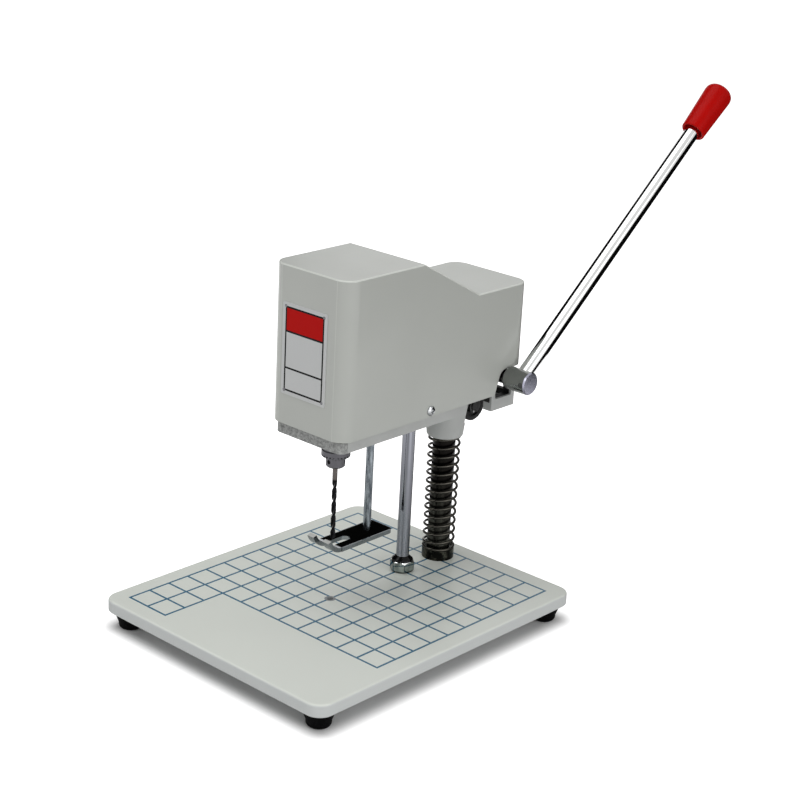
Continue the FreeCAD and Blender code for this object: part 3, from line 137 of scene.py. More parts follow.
# Rods, as radius and distance along them in millimetres, which starts at the lever's pivot or at
# the table
LEVER_ROD = ((0, 0), (3.95, 0), (3.95, 6.6), (6.0, 6.6), (6.0, 302.2), (5.2, 303.0), (0, 303.0))
GUIDE_ROD = ((0, 17.0), (5.0, 17.0), (5.0, 188.0), (4.0, 189.0), (0, 189.0))
PRESSER_ROD = ((0, 66.9), (3.0, 66.9), (3.0, 215.5), (2.5, 216.0), (0, 216.0))

# Colours, linear. SIDE_SHADE is painted shade on the base plate's side against its top, and
# INSIDE_SHADE is painted shade inside the head
BASE_WHITE = (0.78, 0.81, 0.755)
SIDE_SHADE = (0.84, 0.84, 0.89)
GRID_BLUE = (0.0, 0.115, 0.215)
COVER_GREY = (0.485, 0.50, 0.47)
CAST_GREY = (0.485, 0.495, 0.485)
INSIDE_SHADE = (0.014, 0.014, 0.013)
GRIP_RED = (0.475, 0.004, 0.003)
LABEL_WHITE = (0.63, 0.64, 0.64)
LABEL_RED = (0.50, 0.004, 0.003)
INK_BLACK = (0.004, 0.004, 0.005)

# Meshes: steps round a turned piece, the radius that counts as on the axis, and the sharpest bend
# that is shaded smooth
ROUND_STEPS = 96
ON_AXIS = 1e-9
SMOOTH_ANGLE = math.radians(40.0)


# ---------------------------------------------------------------- node helpers

class Graph:
    """A short way to write a node tree."""

    def __init__(self, tree):
        self.tree = tree

    def node(self, kind, **settings):
        made = self.tree.nodes.new(kind)
        for key, value in settings.items():
            setattr(made, key, value)
        return made

    def feed(self, socket, value):
        """Link an output to a socket, or set it to a number, a vector or a colour."""
        if isinstance(value, bpy.types.NodeSocket):
            self.tree.links.new(value, socket)
        elif socket.type == "RGBA":
            socket.default_value = (*value, 1)
        else:
            socket.default_value = value

    def split(self, vector):
        """The three numbers of a vector."""
        made = self.node("ShaderNodeSeparateXYZ")
        self.feed(made.inputs[0], vector)
        return made.outputs

    def math(self, operation, first, second=0.0):
        made = self.node("ShaderNodeMath", operation=operation)
        self.feed(made.inputs[0], first)
        self.feed(made.inputs[1], second)
        return made.outputs[0]

    def above(self, value, limit):
        return self.math("GREATER_THAN", value, limit)

    def below(self, value, limit):
        return self.math("LESS_THAN", value, limit)

    def minus(self, first, second):
        return self.math("SUBTRACT", first, second)

    def absolute(self, value):
        return self.math("ABSOLUTE", value)

    def times(self, product, *factors):
        for factor in factors:
            product = self.math("MULTIPLY", product, factor)
        return product

    def spread(self, factor, low, high, low_at=0.0, high_at=1.0, shape="LINEAR"):
        """Go from low to high as the factor goes from low_at to high_at."""
        made = self.node("ShaderNodeMapRange", interpolation_type=shape)
        for name, value in (("Value", factor), ("From Min", low_at), ("From Max", high_at),
                            ("To Min", low), ("To Max", high)):
            self.feed(made.inputs[name], value)
        return made.outputs["Result"]

    def seen(self, path):
        """1 for rays from the camera, from glossy faces and through glass."""
        direct = self.math("MAXIMUM", path.outputs["Is Camera Ray"], path.outputs["Is Glossy Ray"])
        return self.math("MAXIMUM", direct, path.outputs["Is Transmission Ray"])


class Surface(Graph):
    """A new material, and a short way to write its node tree."""

    def __init__(self, name):
        self.material = bpy.data.materials.new(name)
        self.material.use_nodes = True
        super().__init__(self.material.node_tree)
        self.shader = self.tree.nodes["Principled BSDF"]
        self.place = self.node("ShaderNodeTexCoord").outputs["Object"]

    def set(self, **values):
        """Set the shader's own inputs, with _ for each space in their names."""
        for key, value in values.items():
            self.feed(self.shader.inputs[key.replace("_", " ")], value)

    def noise(self, scale, detail=3.0, roughness=0.5, stretch=(1, 1, 1)):
        mapping = self.node("ShaderNodeMapping")
        self.feed(mapping.inputs["Scale"], stretch)
        self.feed(mapping.inputs["Vector"], self.place)
        made = self.node("ShaderNodeTexNoise")
        for name, value in (("Vector", mapping.outputs["Vector"]), ("Scale", scale),
                            ("Detail", detail), ("Roughness", roughness)):
            self.feed(made.inputs[name], value)
        return made.outputs["Fac"]

    def ramp(self, factor, low, high, low_at, high_at):
        """Go from one colour to another as the factor goes from low_at to high_at."""
        made = self.node("ShaderNodeValToRGB")
        for end, colour, at in ((0, low, low_at), (1, high, high_at)):
            made.color_ramp.elements[end].position = at
            made.color_ramp.elements[end].color = (*colour, 1)
        self.feed(made.inputs["Fac"], factor)
        return made.outputs["Color"]

    def mottle(self, scale, low, high, detail=3.0):
        """Two colours in soft patches."""
        return self.ramp(self.noise(scale, detail), low, high, 0.3, 0.7)

    def mix(self, factor, low, high):
        made = self.node("ShaderNodeMix", data_type="RGBA")
        for index, value in ((0, factor), (6, low), (7, high)):
            self.feed(made.inputs[index], value)
        return made.outputs[2]

    def bump(self, height, distance):
        made = self.node("ShaderNodeBump")
        self.feed(made.inputs["Strength"], 1.0)
        self.feed(made.inputs["Distance"], distance)
        self.feed(made.inputs["Height"], height)
        self.set(Normal=made.outputs["Normal"])

    def within(self, low, high):
        """1 inside the box between two corners, and 0 outside it."""
        place = self.split(self.place)
        sides = []
        for axis in range(3):
            sides.append(self.above(place[axis], low[axis]))
            sides.append(self.below(place[axis], high[axis]))
        return self.times(*sides)

    def geometry(self, name):
        return self.node("ShaderNodeNewGeometry").outputs[name]

    def normal(self):
        """The way the surface faces, as three numbers."""
        return self.split(self.geometry("Normal"))

    def facing_in(self, centre):
        """1 on the inner faces of a shell round the centre, and 0 on its outer faces."""
        out = self.node("ShaderNodeVectorMath", operation="SUBTRACT")
        self.feed(out.inputs[0], self.place)
        self.feed(out.inputs[1], centre)
        facing = self.node("ShaderNodeVectorMath", operation="DOT_PRODUCT")
        self.feed(facing.inputs[0], out.outputs["Vector"])
        self.feed(facing.inputs[1], self.geometry("Normal"))
        return self.below(facing.outputs["Value"], 0.0)


def shade(colour, factor):
    return tuple(channel * factor for channel in colour)


# ---------------------------------------------------------------- painted and moulded finishes

def start_enamel(name, colour, rough=0.30, gloss=0.5):
    """Enamel with slight orange peel and cloudy gloss, and its colour for more work."""
    m = Surface(name)
    paint = m.mottle(9.0, shade(colour, 0.965), shade(colour, 1.03), detail=2.0)
    m.set(Base_Color=paint, Specular_IOR_Level=gloss)
    m.set(Roughness=m.spread(m.noise(45.0), rough - 0.05, rough + 0.06))
    m.bump(m.noise(900.0, 2.0), 0.00002)
    return m, paint


def enamel(name, colour, rough, gloss=0.5):
    return start_enamel(name, colour, rough, gloss)[0].material


def cover_paint(low, high):
    """Baked enamel on folded sheet, with a painted highlight on the top edges, a faint painted
    highlight line at each front fold, and painted shade inside."""
    m, paint = start_enamel("cover_enamel", COVER_GREY)
    across = m.split(m.place)[0]
    facing = m.normal()
    tilt = 0.25
    # Painted highlight on the rounded top edges
    upward = m.above(facing[2], tilt)
    outward = m.math("MAXIMUM", m.above(m.absolute(facing[0]), tilt), m.below(facing[1], -tilt))
    paint = m.mix(m.times(upward, outward), paint, shade(COVER_GREY, 1.38))
    # Painted highlight line along each front fold
    off = m.absolute(m.minus(m.absolute(across), high.x - FOLD_INSET))
    fold = m.times(m.below(off, 0.3 * MM), m.below(facing[1], -0.8))
    paint = m.mix(m.times(fold, 0.6), paint, shade(COVER_GREY, 1.25))
    # Painted shade on the cover's inner faces
    inside = m.facing_in((0, (low.y + high.y) / 2, COVER_MIDDLE))
    m.set(Base_Color=m.mix(inside, paint, INSIDE_SHADE))
    return m.material


def grid_paint(plate_low):
    """White enamel with a thin blue layout grid printed on the top, and its side painted darker as
    shade.
    """
    m = Surface("grid_paint")
    place = m.split(m.place)
    up = m.normal()[2]
    half_width = GRID_COLUMNS * GRID_CELL_X / 2
    across = m.math("DIVIDE", m.math("ADD", place[0], half_width), GRID_CELL_X)
    along = m.math("DIVIDE", m.minus(place[1], plate_low.y + GRID_FRONT_GAP), GRID_CELL_Y)
    half_line_x = GRID_LINE / 2 / GRID_CELL_X
    half_line_y = GRID_LINE / 2 / GRID_CELL_Y
    line = m.math("MAXIMUM", m.below(m.math("PINGPONG", across, 0.5), half_line_x),
                  m.below(m.math("PINGPONG", along, 0.5), half_line_y))
    inside = m.times(m.above(across, -half_line_x), m.below(across, GRID_COLUMNS + half_line_x),
                     m.above(along, -half_line_y), m.below(along, GRID_ROWS + half_line_y))
    bare = m.times(m.above(across, BARE_FIRST_COLUMN + half_line_x),
                   m.below(along, BARE_ROWS - half_line_y))
    line = m.times(line, inside, m.minus(1.0, bare), m.above(up, 0.9))
    ink = m.times(line, m.spread(m.noise(420.0), 0.88, 1.0, 0.3, 0.6))

    top = m.mottle(7.0, shade(BASE_WHITE, 0.975), shade(BASE_WHITE, 1.025), detail=2.0)
    # Painted shade: the side is darker than the top
    side = tuple(own * tint for own, tint in zip(BASE_WHITE, SIDE_SHADE))
    paint = m.mix(m.spread(up, 0.0, 1.0, 0.35, 0.75), side, top)
    m.set(Base_Color=m.mix(ink, paint, GRID_BLUE), Specular_IOR_Level=0.4)
    m.set(Roughness=m.spread(m.noise(60.0), 0.34, 0.44))
    m.bump(m.noise(700.0, 2.0), 0.00002)
    return m.material


def cast_paint(low, high):
    """Grey paint over sand-cast iron, rough on the front of the rim, and painted dark inside as
    shade.
    """
    m = Surface("cast_paint")
    coarse = m.noise(520.0, 5.0, 0.7)
    paint = m.mottle(60.0, shade(CAST_GREY, 0.95), shade(CAST_GREY, 1.04))
    rim = m.within((low.x, low.y - MM, RIM_HEIGHTS[0]), (high.x, low.y + RIM_DEPTH, RIM_HEIGHTS[1]))
    pitted = m.ramp(coarse, shade(CAST_GREY, 0.35), shade(CAST_GREY, 0.95), 0.35, 0.62)
    paint = m.mix(rim, paint, pitted)
    # Painted shade on the faces inside the casting's walls
    half = CASTING_HALF - CASTING_WALL
    inside = m.within((-half, low.y + CASTING_WALL, CASTING_FLOOR),
                      (half, high.y - 0.5 * MM, high.z + MM))
    m.set(Base_Color=m.mix(inside, paint, INSIDE_SHADE), Specular_IOR_Level=0.3)
    m.set(Roughness=m.spread(coarse, 0.5, 0.7))
    m.bump(m.times(coarse, m.spread(rim, 0.25, 1.0)), 0.0005)
    return m.material


def rubber(name, gloss=0.05, rough=0.5):
    m = Surface(name)
    m.set(Base_Color=m.mottle(60.0, (0.0015, 0.0015, 0.0018), (0.003, 0.003, 0.0034)))
    m.set(Roughness=m.spread(m.noise(150.0), rough - 0.1, rough + 0.1), Specular_IOR_Level=gloss)
    m.bump(m.noise(1100.0, 2.0), 0.00003)
    return m.material


def red_plastic():
    m = Surface("red_plastic")
    m.set(Base_Color=m.mottle(30.0, shade(GRIP_RED, 0.93), shade(GRIP_RED, 1.05), detail=2.0))
    m.set(Roughness=m.spread(m.noise(90.0), 0.24, 0.34), Specular_IOR_Level=0.05)
    m.bump(m.noise(160.0, 2.0), 0.00004)
    return m.material


def label_print(plate_low, plate_high):
    """A plain plate: white field, a dark keyline and a red band, with nothing written on it."""
    m = Surface("label_print")
    place = m.split(m.place)
    x, z = place[0], place[2]
    inward = m.minus(x, plate_low.x)
    for room in (m.minus(plate_high.x, x), m.minus(z, plate_low.z), m.minus(plate_high.z, z)):
        inward = m.math("MINIMUM", inward, room)
    in_field = m.above(inward, LABEL_MARGIN + LABEL_LINE)
    band_low = plate_high.z - LABEL_MARGIN - LABEL_BAND
    in_band = m.times(in_field, m.above(z, band_low))
    past_line = m.times(in_field, m.above(z, band_low - LABEL_LINE))
    low_at = plate_low.z + LABEL_MARGIN + LABEL_LOW_LINE
    low_line = m.times(in_field, m.above(z, low_at), m.below(z, low_at + LABEL_LINE))
    line = m.minus(m.above(inward, LABEL_MARGIN), in_field)
    line = m.math("ADD", line, m.minus(past_line, in_band))
    line = m.math("ADD", line, low_line)
    m.set(Base_Color=m.mix(line, m.mix(in_band, LABEL_WHITE, LABEL_RED), INK_BLACK))
    m.set(Roughness=m.spread(m.noise(70.0), 0.34, 0.44), Specular_IOR_Level=0.06)
    m.bump(m.noise(500.0, 2.0), 0.00001)
    return m.material


# ---------------------------------------------------------------- metal finishes

def metal(name, colour, rough, streak=(1, 1, 1), spread=0.06, bands=None):
    """Machined or plated metal. streak stretches the grain along the way it was turned or drawn,
    and bands is the tone of the darker draw lines."""
    m = Surface(name)
    grain = m.noise(500.0, 3.0, 0.55, streak)
    tone = m.mottle(35.0, shade(colour, 0.92), shade(colour, 1.04))
    if bands:
        drawn = m.noise(230.0, 2.0, 0.6, (1, 1, 0.01))
        tone = m.mix(m.spread(drawn, 1.0, 0.0, 0.38, 0.62), tone, shade(colour, bands))
    m.set(Base_Color=tone, Metallic=1.0)
    m.set(Roughness=m.spread(grain, max(rough - spread, 0.02), rough + spread))
    m.bump(grain, 0.000004)
    return m.material


def zinc_plate():
    """Zinc plate with faint spangle and dull patches."""
    m = Surface("zinc_plate")
    cells = m.node("ShaderNodeTexVoronoi")
    m.feed(cells.inputs["Scale"], 260.0)
    m.feed(cells.inputs["Vector"], m.place)
    tone = m.math("ADD", m.times(cells.outputs["Distance"], 0.5), m.times(m.noise(140.0, 4.0), 0.8))
    m.set(Base_Color=m.ramp(tone, (0.30, 0.33, 0.35), (0.55, 0.58, 0.60), 0.2, 0.9), Metallic=1.0)
    m.set(Roughness=m.spread(tone, 0.26, 0.44))
    m.bump(tone, 0.00001)
    return m.material


def pickled_zinc():
    """Drawn rod with a mottled zinc coat: short bright and dark streaks along its length."""
    m = Surface("rod_zinc")
    streaks = m.noise(420.0, 4.0, 0.65, (1, 1, 0.22))
    m.set(Base_Color=m.ramp(streaks, (0.09, 0.105, 0.12), (0.36, 0.40, 0.43), 0.38, 0.66))
    m.set(Metallic=1.0, Roughness=m.spread(streaks, 0.3, 0.16))
    m.bump(streaks, 0.00003)
    return m.material


def nut_finish(low, high):
    """Bright zinc with a chamfer painted pale as a highlight, and painted shade along its upright
    edges and low down.
    """
    m = Surface("nut_zinc")
    place = m.split(m.place)
    # The upward-facing chamfer is painted pale as a highlight
    chamfer = m.above(m.normal()[2], 0.2)
    across = m.minus(place[0], (low.x + high.x) / 2)
    along = m.minus(place[1], (low.y + high.y) / 2)
    turn = m.minus(m.math("ARCTAN2", along, across), NUT_TURN)
    from_corner = m.math("PINGPONG", turn, math.radians(30.0))
    # Painted shade along the upright corners and low down
    edge = m.spread(from_corner, 0.7, 0.0, math.radians(1.2), math.radians(3.2))
    under = m.spread(place[2], 1.0, 0.0, low.z + 0.9 * MM, low.z + 1.8 * MM)
    painted_shade = m.times(m.math("MAXIMUM", edge, under), m.minus(1.0, chamfer))
    face = m.ramp(m.noise(130.0, 3.0), (0.15, 0.175, 0.165), (0.37, 0.41, 0.39), 0.38, 0.62)
    face = m.mix(m.times(painted_shade, 0.85), face, (0.012, 0.013, 0.013))
    m.set(Base_Color=m.mix(chamfer, face, (0.95, 0.97, 0.96)), Metallic=1.0, Roughness=0.09)
    m.bump(m.noise(700.0, 2.0), 0.000004)
    return m.material


def blackened(name, colour=(0.018, 0.018, 0.020), rough=0.38, worn=(0.20, 0.20, 0.20)):
    """Oil-blackened steel with thin wear on its edges."""
    m = Surface(name)
    edges = m.spread(m.geometry("Pointiness"), 0.0, 1.0, 0.52, 0.60)
    body = m.mottle(80.0, shade(colour, 0.8), shade(colour, 1.5))
    m.set(Base_Color=m.mix(m.times(edges, m.noise(300.0, 4.0)), body, worn))
    m.set(Metallic=0.85, Specular_IOR_Level=0.2)
    m.set(Roughness=m.spread(m.noise(200.0, 3.0), rough - 0.08, rough + 0.12))
    m.bump(m.noise(900.0, 2.0), 0.00001)
    return m.material


def presser_finish(low, high):
    """Blackened top face behind the toes. Sides and slot are left bright, and so are the toes,
    whose upper faces are painted pale as a highlight."""
    m = Surface("presser_finish")
    rim = 0.5 * MM
    top = m.within((low.x + rim, low.y + PRESSER_BLACK, PRESSER_TOP - 0.3 * MM),
                   (high.x - rim, high.y - rim, PRESSER_TOP + 0.5 * MM))
    # Painted highlight on the toes' upward faces
    toes = m.below(m.split(m.place)[1], low.y + PRESSER_TOES)
    painted_highlight = m.times(toes, m.above(m.normal()[2], 0.3))
    steel = m.mottle(90.0, (0.23, 0.245, 0.255), (0.33, 0.35, 0.365))
    steel = m.mix(painted_highlight, steel, (0.86, 0.87, 0.84))
    m.set(Base_Color=m.mix(top, steel, (0.0034, 0.0035, 0.0032)), Specular_IOR_Level=0.0)
    m.set(Metallic=m.minus(m.minus(1.0, top), m.times(painted_highlight, 0.7)))
    m.set(Roughness=m.math("ADD", m.times(top, 0.4), 0.17))
    m.bump(m.noise(500.0, 3.0, 0.55, (1, 6, 1)), 0.000002)
    return m.material


def hub_finish(high):
    """Dark turned steel with a bright faced end and chamfer."""
    m = Surface("hub_finish")
    end = m.above(m.split(m.place)[0], high.x - 1.3 * MM)
    grain = m.noise(500.0, 3.0, 0.55, (14, 1, 1))
    body = m.mottle(50.0, (0.21, 0.22, 0.21), (0.27, 0.28, 0.27))
    face = m.mottle(240.0, (0.26, 0.26, 0.32), (0.36, 0.36, 0.43))
    m.set(Base_Color=m.mix(end, body, face), Metallic=1.0)
    m.set(Roughness=m.spread(grain, 0.13, 0.22))
    m.bump(grain, 0.000006)
    return m.material


def column_finish(low):
    """Ground steel, dark at the top, and painted lighter in vertical streaks toward the foot as a
    highlight.
    """
    m = Surface("dark_steel")
    drawn = m.noise(230.0, 2.0, 0.6, (1, 1, 0.05))
    # Painted highlight: lighter toward the foot, in vertical streaks
    painted_highlight = m.spread(m.split(m.place)[2], 1.0, 0.0, low.z, low.z + 68 * MM)
    painted_highlight = m.times(painted_highlight, m.spread(drawn, 0.25, 1.0, 0.4, 0.6))
    painted_highlight = m.times(painted_highlight, m.spread(m.noise(90.0, 3.0), 0.6, 1.0, 0.3, 0.6))
    m.set(Base_Color=m.mix(painted_highlight, (0.011, 0.010, 0.009), (0.14, 0.137, 0.117)), Metallic=1.0)
    m.set(Roughness=m.spread(m.noise(500.0, 3.0, 0.55, (1, 1, 12)), 0.2, 0.32))
    return m.material


def collar_finish():
    """Black seat ring with oily, worn patches."""
    m = Surface("collar_oxide")
    patches = m.noise(150.0, 4.0, 0.6)
    m.set(Base_Color=m.ramp(patches, (0.008, 0.008, 0.007), (0.11, 0.108, 0.085), 0.46, 0.66))
    m.set(Metallic=0.95, Specular_IOR_Level=0.2)
    m.set(Roughness=m.spread(patches, 0.16, 0.36, 0.3, 0.7))
    m.bump(patches, 0.00003)
    return m.material


def drill_finish():
    """Black oxide on the flutes, and bare brown-grey steel on the shank."""
    m = Surface("drill_finish")
    shank = m.spread(m.split(m.place)[2], 0.0, 1.0, SHANK_LOW, SHANK_LOW + 1.5 * MM)
    m.set(Base_Color=m.mix(shank, (0.007, 0.007, 0.008), (0.12, 0.105, 0.10)), Metallic=0.9)
    m.set(Roughness=m.spread(m.noise(400.0, 3.0), 0.2, 0.36))
    m.bump(m.noise(900.0, 2.0), 0.000006)
    return m.material


def bronze():
    m = Surface("bronze")
    m.set(Base_Color=m.mottle(250.0, (0.30, 0.17, 0.07), (0.46, 0.28, 0.12)), Metallic=1.0)
    m.set(Roughness=m.spread(m.noise(500.0), 0.35, 0.5))
    return m.material


# ---------------------------------------------------------------- mesh helpers

def join_rings(work, rings):
    for below, above in zip(rings, rings[1:]):
        for step, vertex in enumerate(below):
            following = (step + 1) % len(below)
            work.faces.new([vertex, below[following], above[following], above[step]])


def join_and_close(work, rings):
    join_rings(work, rings)
    work.faces.new(rings[0])
    work.faces.new(rings[-1])


def revolve(work, profile, turned):
    """Turn (radius, along) points about an axis; turned maps (x, y, along) to a place.
    The profile's ends close on the axis or, as a loop, on each other."""
    closed = profile[0][0] > ON_AXIS or profile[-1][0] > ON_AXIS
    rings = []
    for radius, along in profile:
        if radius < ON_AXIS:
            rings.append([work.verts.new(turned(0, 0, along))])
            continue
        ring = []
        for step in range(ROUND_STEPS):
            turn = 2 * math.pi * step / ROUND_STEPS
            place = turned(radius * math.cos(turn), radius * math.sin(turn), along)
            ring.append(work.verts.new(place))
        rings.append(ring)
    pairs = list(zip(rings, rings[1:]))
    if closed:
        pairs.append((rings[-1], rings[0]))
    for low, high in pairs:
        for step in range(ROUND_STEPS):
            following = (step + 1) % ROUND_STEPS
            corners = []
            for ring, index in ((low, step), (low, following), (high, following), (high, step)):
                vertex = ring[index % len(ring)]
                if vertex not in corners:
                    corners.append(vertex)
            if len(corners) > 2:
                work.faces.new(corners)


def corner(centre_out, centre_along, radius, first, last, steps):
    """Points of a round corner in a profile, between two angles in degrees."""
    points = []
    for step in range(steps + 1):
        turn = math.radians(first + (last - first) * step / steps)
        out = centre_out + radius * math.cos(turn)
        points.append((out, centre_along + radius * math.sin(turn)))
    return points


def upright_at(low, high):
    """Places round the upright axis in the middle of a box, given by their height."""
    x, y = (low.x + high.x) / 2, (low.y + high.y) / 2
    return lambda across, back, along: Vector((x + across, y + back, along))


def lever_at(across, back, along):
    """A place beside the lever's own axis, along it from the pivot."""
    axis = Vector((0, math.sin(LEVER_LEAN), math.cos(LEVER_LEAN)))
    behind = Vector((0, math.cos(LEVER_LEAN), -math.sin(LEVER_LEAN)))
    return Vector(LEVER_PIVOT) + Vector((across, 0, 0)) + behind * back + axis * along


# ---------------------------------------------------------------- pieces

def add_piece(name, build, material, body, node):
    """Make a piece from a bmesh that build() fills, in the place of a CAD node."""
    mesh = bpy.data.meshes.new(name)
    work = bmesh.new()
    build(work)
    bmesh.ops.recalc_face_normals(work, faces=work.faces)
    work.to_mesh(mesh)
    work.free()
    mesh.shade_smooth()
    mesh.set_sharp_from_angle(angle=SMOOTH_ANGLE)
    mesh.materials.append(material)
    made = bpy.data.objects.new(name, mesh)
    bpy.context.scene.collection.objects.link(made)
    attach(made, body)
    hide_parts(node)
    return made


def turned_piece(name, profile, turned, material, body, node):
    """A piece turned from a profile of (radius, along) in millimetres."""
    metres = [(radius * MM, along * MM) for radius, along in profile]
    add_piece(name, lambda work: revolve(work, metres, turned), material, body, node)


def make_spring(material):
    """A compression spring with its end coils closed and ground flat."""
    low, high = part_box("return_spring")
    wire = 1.05 * MM
    mean = (high.x - low.x) / 2 - wire
    axis_back = (low.y + high.y) / 2
    turns = 13.0
    lead = (high.z - low.z) / turns
    closed = 0.55
    steps_per_turn = 56
    wire_sides = 12
    seat = 0.45 * wire
    up = Vector((0, 0, 1))

    def ring(work, count):
        """The wire's section after a number of turns."""
        turn = 2 * math.pi * count
        height = min(max(low.z + lead * count, low.z + seat), high.z - seat)
        outward = Vector((math.cos(turn), math.sin(turn), 0))
        centre = Vector((mean * outward.x, axis_back + mean * outward.y, height))
        points = []
        for step in range(wire_sides):
            around = 2 * math.pi * step / wire_sides
            point = centre + outward * (wire * math.cos(around)) + up * (wire * math.sin(around))
            point.z = min(max(point.z, low.z), high.z)
            points.append(work.verts.new(point))
        return points

    def build(work):
        first = int(-closed * steps_per_turn)
        last = int((turns + closed) * steps_per_turn)
        join_and_close(work, [ring(work, step / steps_per_turn) for step in range(first, last + 1)])

    piece = add_piece("spring_coil", build, material, "base", "return_spring")
    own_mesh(piece)


def make_drill(material):
    """A two-flute twist drill with a conical point and a plain shank."""
    low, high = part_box("drill_bit")
    radius = (high.x - low.x) / 2
    axis = Vector(((low.x + high.x) / 2, (low.y + high.y) / 2, 0))
    lead = 22.0 * MM
    run_out = 3.0 * MM
    point_slope = math.tan(math.radians(59.0))
    point_flat = 0.05 * MM
    around = 48
    land = math.radians(37.0)
    margin = 0.75 * land
    relief = 0.965
    flute_depth = 0.66
    step_height = 0.4 * MM

    def reach(angle, flute):
        """Radius of the section at an angle from the middle of a land."""
        off = abs((angle + math.pi / 2) % math.pi - math.pi / 2)
        if off < land:
            return radius * (1.0 if off > margin or flute < 1 else relief)
        share = (off - land) / (math.pi / 2 - land)
        return radius * (1 - flute * flute_depth * math.sin(share * math.pi / 2) ** 0.7)

    def build(work):
        rings = []
        height = low.z
        while height < high.z:
            flute = min(max((FLUTE_TOP - height) / run_out, 0.0), 1.0)
            cone = max((height - low.z) * point_slope, point_flat)
            ring = []
            for step in range(around):
                angle = 2 * math.pi * step / around
                out = min(reach(angle, flute), cone)
                turn = angle + 2 * math.pi * (height - low.z) / lead
                place = Vector((out * math.cos(turn), out * math.sin(turn), height))
                ring.append(work.verts.new(axis + place))
            rings.append(ring)
            height += step_height
        join_and_close(work, rings)

    add_piece("twist_drill", build, material, "spindle_unit", "drill_bit")


def make_feet(material):
    """Tapered rubber feet with a rounded rim and a counterbore for the screw."""
    profile = [(2.3, 14.0), (12.6, 14.0)]
    profile += corner(5.6, 3.6, 3.6, 16, -90, 8)
    profile += [(4.3, 0.0), (4.3, 6.0), (2.3, 6.0)]
    for node in ("foot_front_left", "foot_front_right", "foot_rear_left", "foot_rear_right"):
        place = upright_at(*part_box(node))
        turned_piece("rubber_" + node, profile, place, material, "base", node)


def make_nut():
    """A hexagon nut, chamfered above and below."""
    low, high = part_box("guide_rod_nut")
    centre = Vector(((low.x + high.x) / 2, (low.y + high.y) / 2, 0))
    flat = (high.x - low.x) / 2
    top = low.z + NUT_HEIGHT
    hole = 5.1 * MM
    face_radius = 0.985 * flat
    slope = 0.9
    steps = 72
    side_turn = math.radians(60.0)

    def build(work):
        rings = [[] for _ in range(6)]
        for step in range(steps):
            turn = 2 * math.pi * step / steps
            out = flat / math.cos(turn % side_turn - side_turn / 2)
            drop = slope * (out - face_radius)
            section = ((hole, low.z), (face_radius, low.z), (out, low.z + drop),
                       (out, top - drop), (face_radius, top), (hole, top))
            turn += NUT_TURN
            for ring, (radius, height) in zip(rings, section):
                place = Vector((radius * math.cos(turn), radius * math.sin(turn), height))
                ring.append(work.verts.new(centre + place))
        join_rings(work, rings + rings[:1])

    add_piece("hexagon_nut", build, nut_finish(low, high), "base", "guide_rod_nut")


def make_buffer(material):
    """A rubber ring on the nut, sloping up to the rod."""
    low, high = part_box("guide_rod_nut")
    base = (low.z + NUT_HEIGHT) / MM
    profile = [(BUFFER_HOLE, base)] + [(radius, base + up) for radius, up in BUFFER_SLOPE]
    place = upright_at(low, high)
    turned_piece("rubber_buffer", profile, place, material, "base",
                 "guide_rod_collar")


def make_grip(material):
    """A moulded handle that swells to a blunt end, with a flared mouth round the rod."""
    profile = [(6.05, 270.0), (7.3, 267.0), (7.9, 264.6)]
    profile += corner(8.95, 264.2, 1.05, 180, 360, 10)
    swell_steps = 8
    for step in range(1, swell_steps):
        share = step / swell_steps
        profile.append((10.0 + 1.6 * share, 264.2 + 38.6 * share))
    squareness = 2 / 2.7
    end_steps = 14
    for step in range(end_steps):
        turn = math.radians(90.0 * step / end_steps)
        radius = 11.6 * math.cos(turn) ** squareness
        profile.append((radius, 302.8 + 7.7 * math.sin(turn) ** squareness))
    profile.append((0.0, 310.5))
    turned_piece("grip", profile, lever_at, material, "lever_unit", "lever_grip")


def make_rods():
    chrome = metal("chrome", (0.70, 0.705, 0.70), 0.06, spread=0.02)
    turned_piece("lever_bar", LEVER_ROD, lever_at, chrome, "lever_unit", "lever_rod")
    guide_steel = metal("guide_steel", (0.35, 0.358, 0.40), 0.12, spread=0.03, bands=0.25)
    place = upright_at(*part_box("guide_rod"))
    turned_piece("guide_bar", GUIDE_ROD, place, guide_steel, "base", "guide_rod")
    place = upright_at(*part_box("presser_rod"))
    turned_piece("presser_bar", PRESSER_ROD, place, pickled_zinc(), "presser_foot",
                 "presser_rod")


def make_pieces():
    make_spring(metal("spring_black", (0.062, 0.058, 0.050), 0.22))
    make_drill(drill_finish())
    make_grip(red_plastic())
    make_feet(rubber("foot_rubber"))
    make_nut()
    make_buffer(rubber("buffer_rubber", 0.15, 0.17))
    make_rods()


def give(material, *names):
    for name in names:
        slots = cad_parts[name].data.materials
        slots.clear()
        slots.append(material)


